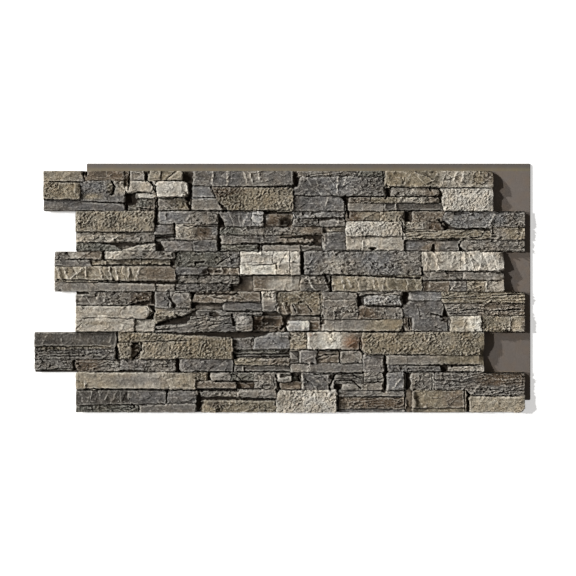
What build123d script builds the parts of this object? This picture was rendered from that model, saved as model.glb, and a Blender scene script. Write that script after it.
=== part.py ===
from build123d import *
import os
from collections import namedtuple
from itertools import cycle

# Faux stone wall panel: one moulding of dry-stacked ledge stones on a thin backing plate.
# It lies on its flat back, with +X along the courses, +Y up the wall and +Z out of the wall.
# Origin: middle of the whole outline, at the back face. Millimetres.

# Coverage and depth
COVER_LENGTH = 1122.0      # a course, from one panel to the same place on the next
COURSE_HEIGHT = 100.5      # one of the six courses
PANEL_DEPTH = 31.75        # back face to the proudest stone
END_GAP = 1.0              # left free where a course meets the next panel

# How far the left end of each course reaches past the even courses, from the top course down
REACHES = (80.0, 0.0, 53.0, 0.0, 103.0, 0.0)

# Backing plate
PLATE_THICKNESS = 6.0
PLATE_CORNER = 3.0         # corner radius of the plate
TOP_FLANGE = 20.0          # strip above the top course, lapped by the panel above
SIDE_FLANGE = 17.0         # strip right of the even courses, lapped by the next panel
LEFT_LAP = 25.0            # even courses overhang the plate by this much
BOTTOM_LAP = 29.5          # the bottom course overhangs the plate by this much

# Bed and stones
BED_THICKNESS = 5.0        # mortar-coloured bed that the stones rise from
STONE_SEAT = 1.0           # how deep a stone starts below the top of the bed
JOINT = 2.4                # narrowest joint between two stones
EDGE_WEAR = 2.4            # height of the worn edge round the face of a stone
WEAR_ANGLE = 34.0          # lean of the worn edge, in degrees
DRAWN_JOINT = 2.0          # joint that the layout below leaves free
LEVELS = 10.0              # levels of relief, from the bed to the proudest stone
FALL_LIMIT = 1 / 3         # most that a face falls, as a share of the stone's rise
WEAR_LIMIT = 1 / 4         # most that an edge is worn, as a share of the stone's width or height

# Falls of a stone's face along the course and up it, taken in turn: most are proudest at the foot
FACE_FALLS = ((1.6, 2.4), (-1.2, 3.0), (0.8, 1.4), (-2.0, 2.0), (1.2, 3.4), (-0.6, -0.8), (2.2, 1.8))

# Derived sizes, measured from the left end and the foot of the bottom course
COURSE_COUNT = len(REACHES)
BED_TOP = PLATE_THICKNESS + BED_THICKNESS
RELIEF = PANEL_DEPTH - BED_TOP
COURSE_LENGTH = COVER_LENGTH - END_GAP
STACK_HEIGHT = COURSE_COUNT * COURSE_HEIGHT
LEFT_EDGE = -max(REACHES)
RIGHT_EDGE = COURSE_LENGTH + SIDE_FLANGE
TOP_EDGE = STACK_HEIGHT + TOP_FLANGE
CENTRE_X = (LEFT_EDGE + RIGHT_EDGE) / 2
CENTRE_Y = TOP_EDGE / 2

Stone = namedtuple("Stone", "level outline")
Course = namedtuple("Course", "drawn_from stones")


def block(level, left, right, foot, head):
    """A four-square stone: x in mm along the course, y in percent of its height."""
    return Stone(level, ((left, foot), (right, foot), (right, head), (left, head)))


def shard(level, *outline):
    """A stone of any other outline, its corners in order."""
    return Stone(level, outline)


# Layout of the stones, course by course from the top; drawn_from is where a course starts
TOP_COURSE = Course(-80, (
    block(8, -80, 17, 73, 100),
    block(6, 22, 120, 77, 100),
    block(9, -80, 11, 30, 71),
    shard(7, (13, 40), (82, 40), (90, 50), (90, 62), (84, 74), (14, 74)),
    block(6, 98, 120, 40, 74),
    shard(5, (15, 27), (120, 21), (120, 38), (13, 38)),
    shard(6, (-80, 0), (120, 0), (120, 16), (15, 21), (11, 28), (-80, 28)),
    block(4, 122, 135, 62, 99),
    block(7, 137, 168, 76, 99),
    block(8, 184, 211, 77, 99),
    shard(6, (213, 77), (222, 77), (248, 99), (213, 99)),
    shard(8, (229, 77), (264, 77), (262, 98), (253, 99)),
    shard(9, (127, 47), (194, 47), (190, 60), (180, 73), (138, 73), (136, 61), (127, 60)),
    shard(10, (205, 36), (240, 34), (278, 38), (278, 68), (262, 73), (193, 73), (200, 60)),
    block(7, 152, 202, 33, 44),
    shard(5, (130, 2), (196, 2), (197, 30), (157, 31), (152, 16), (132, 13)),
    shard(5, (204, 2), (280, 2), (282, 24), (272, 31), (205, 28)),
    block(5, 295, 338, 63, 100),
    block(6, 341, 377, 63, 100),
    block(4, 380, 411, 63, 100),
    block(8, 414, 457, 63, 100),
    shard(6, (460, 63), (540, 66), (540, 98), (460, 100)),
    shard(6, (293, 32), (350, 32), (334, 61), (293, 61)),
    shard(8, (293, 3), (376, 3), (351, 28), (293, 28)),
    shard(9, (385, 2), (541, 2), (540, 57), (340, 59), (343, 45), (356, 27)),
    block(5, 556, 702, 87, 99),
    shard(6, (705, 87), (768, 84), (768, 98), (712, 99)),
    shard(7, (546, 39), (772, 39), (768, 83), (564, 84), (560, 62), (546, 58)),
    shard(7, (546, 2), (668, 2), (671, 14), (664, 30), (650, 36), (546, 35)),
    block(6, 684, 737, 21, 35),
    block(6, 682, 768, 1, 18),
    block(7, 740, 905, 21, 35),
    block(7, 771, 800, 2, 17),
    block(5, 803, 915, 2, 18),
    shard(8, (774, 61), (1040, 58), (1040, 99), (776, 99)),
    block(6, 790, 904, 39, 58),
    shard(10, (917, 2), (1041, 2), (1041, 55), (914, 56), (922, 40), (915, 30)),
))
SECOND_COURSE = Course(0, (
    block(8, 0, 193, 49, 99),
    block(5, 0, 193, 24, 46),
    shard(4, (0, 2), (112, 2), (100, 12), (60, 20), (0, 20)),
    shard(6, (117, 2), (195, 2), (195, 20), (165, 20), (150, 12)),
    block(7, 207, 354, 69, 98),
    block(6, 199, 246, 43, 66),
    block(3, 199, 246, 28, 40),
    block(7, 250, 299, 28, 66),
    block(5, 302, 352, 28, 66),
    shard(6, (226, 2), (290, 2), (290, 25), (214, 25)),
    block(6, 294, 351, 2, 25),
    shard(6, (374, 63), (419, 63), (419, 97), (360, 97)),
    block(7, 421, 438, 63, 97),
    block(9, 441, 467, 63, 97),
    shard(5, (470, 63), (538, 63), (538, 91), (470, 91)),
    block(5, 362, 614, 43, 60),
    block(5, 362, 590, 20, 38),
    block(4, 362, 458, 2, 15),
    block(6, 468, 560, 2, 14),
    block(3, 563, 615, 2, 15),
    block(6, 545, 668, 84, 98),
    block(6, 545, 605, 63, 80),
    block(7, 609, 668, 63, 80),
    block(7, 618, 672, 48, 60),
    block(5, 618, 672, 5, 45),
    block(5, 676, 757, 76, 98),
    block(7, 761, 818, 76, 98),
    block(10, 676, 818, 39, 73),
    block(7, 676, 711, 4, 36),
    block(8, 714, 818, 4, 36),
    shard(6, (842, 73), (912, 73), (919, 98), (842, 98)),
    shard(6, (820, 54), (931, 54), (913, 70), (820, 70)),
    shard(7, (820, 30), (1026, 30), (1033, 38), (1030, 50), (820, 52)),
    block(5, 821, 956, 3, 27),
    shard(8, (940, 61), (1120, 61), (1120, 97), (925, 97), (917, 80)),
    block(7, 1037, 1120, 30, 58),
    shard(6, (975, 3), (1120, 3), (1120, 27), (968, 27), (960, 14)),
))
THIRD_COURSE = Course(-53, (
    block(5, -53, 61, 81, 99),
    shard(7, (73, 81), (245, 84), (245, 97), (73, 99)),
    block(6, -53, 35, 64, 78),
    block(5, 39, 236, 69, 78),
    block(8, -53, 248, 27, 61),
    shard(6, (-53, 2), (197, 2), (197, 17), (-53, 24)),
    block(5, 201, 248, 2, 17),
    block(5, 251, 408, 62, 98),
    block(6, 251, 329, 43, 59),
    block(5, 332, 409, 43, 59),
    block(4, 251, 407, 23, 39),
    block(4, 251, 384, 2, 19),
    block(9, 413, 490, 69, 98),
    block(9, 493, 558, 73, 98),
    block(10, 412, 500, 43, 66),
    block(9, 504, 559, 43, 69),
    block(4, 446, 559, 3, 38),
    block(9, 573, 862, 43, 98),
    block(6, 563, 631, 20, 41),
    block(6, 563, 631, 2, 17),
    block(8, 641, 862, 3, 38),
    block(10, 866, 963, 52, 97),
    block(10, 966, 1068, 52, 97),
    block(7, 868, 963, 31, 47),
    block(8, 967, 1067, 31, 47),
    block(6, 867, 931, 2, 27),
    block(6, 935, 974, 2, 27),
    block(7, 977, 1020, 2, 27),
    block(8, 1023, 1067, 2, 27),
))
FOURTH_COURSE = Course(0, (
    shard(6, (1, 68), (128, 68), (128, 98), (33, 98), (29, 92), (1, 92)),
    block(3, 131, 195, 68, 98),
    block(8, 1, 112, 36, 64),
    shard(9, (115, 34), (176, 34), (191, 48), (180, 63), (115, 63)),
    block(9, 1, 145, 3, 32),
    block(7, 148, 195, 3, 28),
    block(7, 199, 232, 61, 98),
    shard(8, (236, 61), (284, 61), (288, 80), (282, 98), (236, 98)),
    shard(6, (199, 22), (262, 38), (296, 58), (199, 58)),
    shard(6, (199, 2), (398, 2), (398, 38), (290, 38), (278, 17), (199, 12)),
    block(9, 400, 439, 4, 37),
    shard(4, (442, 3), (520, 3), (514, 37), (442, 38)),
    block(5, 301, 463, 41, 51),
    shard(7, (292, 75), (463, 75), (463, 97), (300, 97)),
    block(8, 466, 499, 54, 98),
    shard(7, (502, 52), (530, 41), (612, 41), (612, 98), (502, 98)),
    block(6, 370, 463, 54, 72),
    block(7, 532, 612, 29, 38),
    block(8, 530, 580, 3, 26),
    block(5, 584, 612, 3, 26),
    block(7, 616, 701, 33, 97),
    block(6, 706, 815, 92, 99),
    block(8, 722, 812, 68, 89),
    block(7, 706, 812, 33, 63),
    block(7, 617, 815, 3, 30),
    block(6, 833, 909, 79, 98),
    block(5, 819, 914, 38, 76),
    block(5, 819, 836, 3, 34),
    block(5, 841, 932, 3, 34),
    block(7, 914, 1120, 73, 98),
    shard(6, (934, 41), (1119, 41), (1119, 70), (918, 70)),
    block(10, 936, 1010, 3, 38),
    block(7, 1013, 1082, 3, 38),
    block(8, 1085, 1120, 3, 38),
))
FIFTH_COURSE = Course(-103, (
    block(7, -102, 99, 65, 98),
    block(5, -102, 96, 32, 62),
    block(6, -102, -12, 9, 30),
    shard(6, (8, 5), (109, 5), (109, 30), (-3, 30), (-3, 22)),
    block(7, 112, 177, 8, 30),
    shard(8, (108, 77), (390, 77), (390, 84), (108, 99)),
    block(7, 107, 139, 33, 72),
    block(4, 141, 159, 36, 67),
    block(8, 161, 390, 34, 74),
    block(6, 180, 247, 3, 31),
    block(7, 263, 392, 3, 32),
    shard(5, (394, 58), (443, 58), (443, 87), (394, 80)),
    shard(6, (446, 58), (532, 58), (532, 97), (490, 97), (446, 81)),
    block(4, 396, 533, 46, 55),
    block(3, 396, 533, 36, 43),
    block(5, 396, 533, 18, 33),
    block(6, 396, 418, 3, 15),
    block(4, 422, 533, 3, 15),
    block(6, 536, 576, 55, 98),
    block(10, 580, 660, 58, 97),
    block(6, 664, 712, 58, 97),
    block(5, 536, 556, 24, 52),
    block(7, 560, 600, 24, 52),
    block(5, 603, 654, 24, 50),
    block(6, 664, 712, 24, 50),
    block(5, 536, 580, 2, 20),
    block(6, 586, 715, 2, 20),
    shard(9, (728, 44), (1018, 44), (1018, 97), (717, 97), (717, 56)),
    block(6, 719, 768, 3, 41),
    block(7, 779, 1017, 21, 41),
    block(6, 781, 910, 2, 16),
    block(7, 932, 1016, 2, 17),
))
BOTTOM_COURSE = Course(0, (
    block(8, 1, 298, 60, 97),
    block(5, 1, 222, 20, 53),
    block(5, 230, 298, 24, 51),
    block(4, 1, 155, 2, 17),
    block(6, 160, 298, 2, 20),
    block(6, 302, 326, 80, 98),
    block(7, 340, 384, 80, 97),
    block(6, 387, 444, 78, 97),
    block(7, 447, 500, 61, 97),
    block(7, 301, 399, 62, 76),
    block(6, 402, 444, 62, 75),
    block(5, 303, 400, 41, 53),
    block(8, 404, 498, 37, 55),
    block(6, 311, 498, 2, 28),
    block(8, 504, 535, 78, 96),
    block(4, 504, 562, 57, 74),
    shard(10, (502, 2), (650, 2), (650, 54), (514, 54), (502, 40)),
    block(7, 566, 641, 57, 97),
    block(4, 645, 718, 74, 95),
    block(7, 668, 716, 57, 71),
    block(6, 659, 820, 40, 53),
    block(5, 659, 820, 10, 37),
    block(4, 659, 820, 1, 7),
    block(7, 721, 765, 77, 97),
    block(6, 721, 765, 56, 74),
    block(7, 779, 821, 56, 97),
    block(6, 838, 892, 57, 96),
    shard(7, (898, 57), (974, 57), (992, 42), (1120, 42), (1120, 96), (898, 96)),
    block(7, 842, 972, 12, 54),
    block(5, 841, 971, 1, 9),
    shard(8, (985, 3), (1108, 3), (1120, 12), (1120, 39), (985, 39)),
))
COURSES = (TOP_COURSE, SECOND_COURSE, THIRD_COURSE, FOURTH_COURSE, FIFTH_COURSE, BOTTOM_COURSE)
DRAWN_HEIGHT = max(y for course in COURSES for stone in course.stones for x, y in stone.outline)


def course_foot(row):
    """Height of the foot of a course, rows counted from the top."""
    return (COURSE_COUNT - 1 - row) * COURSE_HEIGHT


def placed_outline(stone, row):
    """The stone's corners on the panel, with the drawn course stretched to its real length and height."""
    course = COURSES[row]
    drawn_to = max(x for drawn in course.stones for x, y in drawn.outline)
    stretch = COURSE_LENGTH / (drawn_to - course.drawn_from)
    left_end = -REACHES[row] - CENTRE_X
    foot = course_foot(row) - CENTRE_Y
    return [
        (left_end + (x - course.drawn_from) * stretch, foot + y / DRAWN_HEIGHT * COURSE_HEIGHT)
        for x, y in stone.outline
    ]


def stone_boss(stone, row, falls):
    """One stone standing out of the bed, its face tilted and its edges worn."""
    corners = placed_outline(stone, row)
    width = max(x for x, y in corners) - min(x for x, y in corners)
    height = max(y for x, y in corners) - min(y for x, y in corners)
    rise = RELIEF * stone.level / LEVELS
    most = rise * FALL_LIMIT
    slope_x = max(-most, min(falls[0], most)) / width
    slope_y = max(-most, min(falls[1], most)) / height
    peak_x, peak_y = min(corners, key=lambda corner: slope_x * corner[0] + slope_y * corner[1])
    face = Plane(origin=(peak_x, peak_y, BED_TOP + rise), z_dir=(slope_x, slope_y, 1))
    wear = min(EDGE_WEAR, width * WEAR_LIMIT, height * WEAR_LIMIT, most)
    with BuildPart() as boss:
        with BuildSketch(Plane.XY.offset(BED_TOP - STONE_SEAT)):
            with BuildLine():
                Polyline(*corners, close=True)
            make_face()
            offset(amount=(DRAWN_JOINT - JOINT) / 2, kind=Kind.INTERSECTION)
        extrude(amount=STONE_SEAT + rise - wear)
        extrude(boss.faces().sort_by(Axis.Z)[-1], amount=wear, taper=WEAR_ANGLE)
        split(bisect_by=face, keep=Keep.BOTTOM)
    return boss.part


# Every stone of every course
stones = []
falls_in_turn = cycle(FACE_FALLS)
for row, course in enumerate(COURSES):
    for stone in course.stones:
        stones.append(stone_boss(stone, row, next(falls_in_turn)))

# The moulding: backing plate, bed with its stepped ends, and the stones
with BuildPart() as stone_panel:
    with BuildSketch():
        plate_length = RIGHT_EDGE - LEFT_LAP
        plate_height = TOP_EDGE - BOTTOM_LAP
        plate_centre = (LEFT_LAP + plate_length / 2 - CENTRE_X, BOTTOM_LAP + plate_height / 2 - CENTRE_Y)
        with Locations(plate_centre):
            RectangleRounded(plate_length, plate_height, PLATE_CORNER)
    extrude(amount=PLATE_THICKNESS)
    with BuildSketch(Plane.XY.offset(PLATE_THICKNESS)):
        for row, reach in enumerate(REACHES):
            bed_centre = (COURSE_LENGTH / 2 - reach - CENTRE_X, course_foot(row) + COURSE_HEIGHT / 2 - CENTRE_Y)
            with Locations(bed_centre):
                Rectangle(COURSE_LENGTH, COURSE_HEIGHT)
    extrude(amount=BED_THICKNESS)
    add(stones)

stone_panel.part.label = "stone_panel"

os.makedirs("parts", exist_ok=True)
export_step(stone_panel.part, "parts/stone_panel.step")
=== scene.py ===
"""Faux stone wall panel: the cleft relief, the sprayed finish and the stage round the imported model."""
import math

import bmesh
import bpy
import numpy as np
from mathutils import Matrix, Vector
from mathutils.bvhtree import BVHTree


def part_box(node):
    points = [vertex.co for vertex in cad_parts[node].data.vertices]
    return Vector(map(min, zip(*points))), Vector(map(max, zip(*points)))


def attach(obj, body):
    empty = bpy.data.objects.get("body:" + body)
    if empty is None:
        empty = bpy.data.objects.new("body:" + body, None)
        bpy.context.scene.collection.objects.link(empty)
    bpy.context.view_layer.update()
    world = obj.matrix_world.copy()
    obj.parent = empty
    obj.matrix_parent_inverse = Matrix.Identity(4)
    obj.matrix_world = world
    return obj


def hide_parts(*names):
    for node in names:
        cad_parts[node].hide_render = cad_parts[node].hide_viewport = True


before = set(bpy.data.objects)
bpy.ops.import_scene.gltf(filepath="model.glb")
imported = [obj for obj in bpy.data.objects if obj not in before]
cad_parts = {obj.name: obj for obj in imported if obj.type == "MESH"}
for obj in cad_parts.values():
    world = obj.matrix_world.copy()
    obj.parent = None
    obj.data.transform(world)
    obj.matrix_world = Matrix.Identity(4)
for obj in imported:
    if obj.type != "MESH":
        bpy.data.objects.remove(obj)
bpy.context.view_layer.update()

bl_info = {
    "name": "Faux stone wall panel",
    "version": (1, 0, 0),
    "blender": (4, 5, 0),
    "location": "View3D > Sidebar > Stone Panel",
    "description": "Dresses a moulded ledge stone wall panel and sets its stage",
    "category": "Object",
}

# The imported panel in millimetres, from the left end and the foot of its even courses
MM = 0.001
NODE = "stone_panel"
LOW, HIGH = (np.array(corner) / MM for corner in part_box(NODE))
COURSE_NAMES = (
    "top_course", "second_course", "third_course", "fourth_course", "fifth_course", "bottom_course"
)
COURSES = len(COURSE_NAMES)
COURSE_LENGTH = 1121.0
COURSE_HEIGHT = 100.5
STACK_HEIGHT = COURSES * COURSE_HEIGHT
REACHES = (80.0, 0.0, 53.0, 0.0, 103.0, 0.0)
DATUM_X = LOW[0] + max(REACHES)
DATUM_Y = LOW[1]
PLATE_TOP = 6.0
BED_TOP = 11.0
PANEL_TOP = float(HIGH[2])

# The backing plate in millimetres
RIGHT_FLANGE = 17.0
TOP_FLANGE = 20.0
LEFT_LAP = 25.0
BOTTOM_LAP = 29.5
PLATE_CORNER = 3.0
PLATE_WORN_EDGE = 2.0
OVERSPRAY = (5, 12)

# Bounds of the relief in millimetres
BED_LEVEL = BED_TOP - 0.5
DEEPEST_CUT = BED_TOP - 3.5
LOWEST_STONE = BED_TOP + 1.5
HIGHEST_STONE = PANEL_TOP - 0.05
COURSE_CEILING = PANEL_TOP - 0.02
PROUD_OF_BED = 0.05
SMALL_STONE = BED_TOP + 4
EDGE_INSET = 0.6
FOOT_INSET = 0.8
MARK_REACH = 12
GAP_REACH = 14
DEEPEST_WEAR = 7.0
FAR = 99.0
CORNER_ROUND = 3.0
FOOT_CORNER_ROUND = 9.0

# Grid of the front in millimetres, and how far it is thinned
CELL_X = 1.1
CELL_Y = 1.05
COURSE_TRIANGLES = 125000

# How level a packed face has to be to count as a stone's front, and the points that a slope takes
FACE_NORMAL = 0.97
ENOUGH_POINTS = 12

# Grid steps that a stone grows over its joints, its colour over the bed, and wear over edges and level joints
JOINT_STEPS = 3
BED_STEPS = 40
EDGE_STEPS = 11
LEVEL_STEPS = 4

# Grid points on each side that a ridge, a hollow and the depth for painted shade are measured against
RIDGE_REACH = 2
HOLLOW_REACH = 4
SHADE_DEPTH_REACH = 12

# Walls of a course: how much of the way left to the plate each ring of corners goes down
WALL_STEPS = (0.35, 0.55, 1.0)

# Edges that bend less than this are shaded smooth
SMOOTH_BELOW = math.radians(32)

# The course laid out for baking: strips of the front, then the long walls, the ends and the back
WALL, BACK = 1, 2
FRONT_STRIPS = 4
MARGIN = 0.02
STRIP_FOOT = 0.005
STRIP_PITCH = 0.2
STRIP_HEIGHT = 0.19
WALL_FOOT = 0.81
WALL_PITCH = 0.03
WALL_HEIGHT = 0.026
END_FOOT = 0.93
END_LENGTH = 0.4
BACK_FOOT = 0.965
BACK_HEIGHT = 0.03

# Stage in metres: the camera sees the view's width at the measured height, a little over the floor
VIEW_WIDTH = 1.436
VIEW_CENTRE = (0.0125, -0.0008)
MEASURED_HEIGHT = 0.025
SENSOR_WIDTH = 36.0
FLOOR_REACH = 6
FLOOR_DROP = 0.0005
FLOOR_GLOW = 0.5
SKY_COLOUR = (1, 0.93, 0.86, 1)
SKY_STRENGTH = 0.13

# Lamps, both from the left: elevation and azimuth in degrees, strength, and apparent size in degrees
LAMPS = {"key_lamp": (39, 172, 2.3, 0.8), "side_lamp": (22.5, 151, 3.5, 1.6)}

# Paints, as they look in plain daylight (sRGB)
PAINTS = {
    "white": (0.8, 0.785, 0.74), "ivory": (0.71, 0.69, 0.65), "cream": (0.63, 0.605, 0.56),
    "sand": (0.555, 0.522, 0.46), "tan": (0.503, 0.465, 0.393), "olive": (0.46, 0.428, 0.363),
    "stone": (0.47, 0.45, 0.42), "grey": (0.4, 0.385, 0.365), "rose": (0.435, 0.42, 0.405),
    "slate": (0.37, 0.36, 0.35), "blue": (0.44, 0.435, 0.43), "charcoal": (0.3, 0.285, 0.265),
    "moss": (0.36, 0.355, 0.325), "brown": (0.415, 0.375, 0.325), "umber": (0.335, 0.285, 0.23),
    "ink": (0.1, 0.078, 0.05), "base": (0.16, 0.13, 0.1), "taupe": (0.448, 0.417, 0.392),
    "hem": (0.385, 0.365, 0.345), "foam": (0.72, 0.66, 0.52), "frost": (0.575, 0.57, 0.56),
    "rust": (0.5, 0.395, 0.31),
}

# How deep each layer of relief is cut for each way of splitting the stone, in millimetres
STYLES = {
    "smooth": {"wave": 1.5, "slabs": 1.5, "chips": 0.6, "ridges": 0.8, "crests": 0.35, "fine": 0.4},
    "sawn": {"wave": 1.2, "chips": 0.5, "ridges": 0.5, "fine": 0.5},
    "rough": {"wave": 1.3, "chips": 2.8, "crumbs": 1.6, "ridges": 1.3, "crests": 1.1, "fine": 0.5},
    "pitted": {"wave": 1.1, "crumbs": 1.6, "tooled": 2.0, "pits": 1.8, "crests": 0.9, "fine": 0.4},
    "strata": {"wave": 1.0, "lips": 2.9, "chips": 1.8, "crumbs": 1.1, "crests": 1.0, "fine": 0.4},
    "facets": {"wave": 1.0, "teeth": 2.3, "chips": 0.8, "ridges": 0.7, "crests": 0.5, "fine": 0.4},
    "cleft": {"wave": 1.0, "slabs": 3.2, "slants": 1.8, "ridges": 0.9, "crests": 0.6, "fine": 0.4},
}

# How strongly each way of splitting roughens the paint
GRAIN = {
    "smooth": 0.75, "sawn": 0.65, "rough": 1.1, "pitted": 1.1, "strata": 1.0, "facets": 0.8, "cleft": 0.85,
}
BED_GRAIN = 0.6

# The tables below go course by course from the top. A place is x in mm and y in percent of the course.

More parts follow.
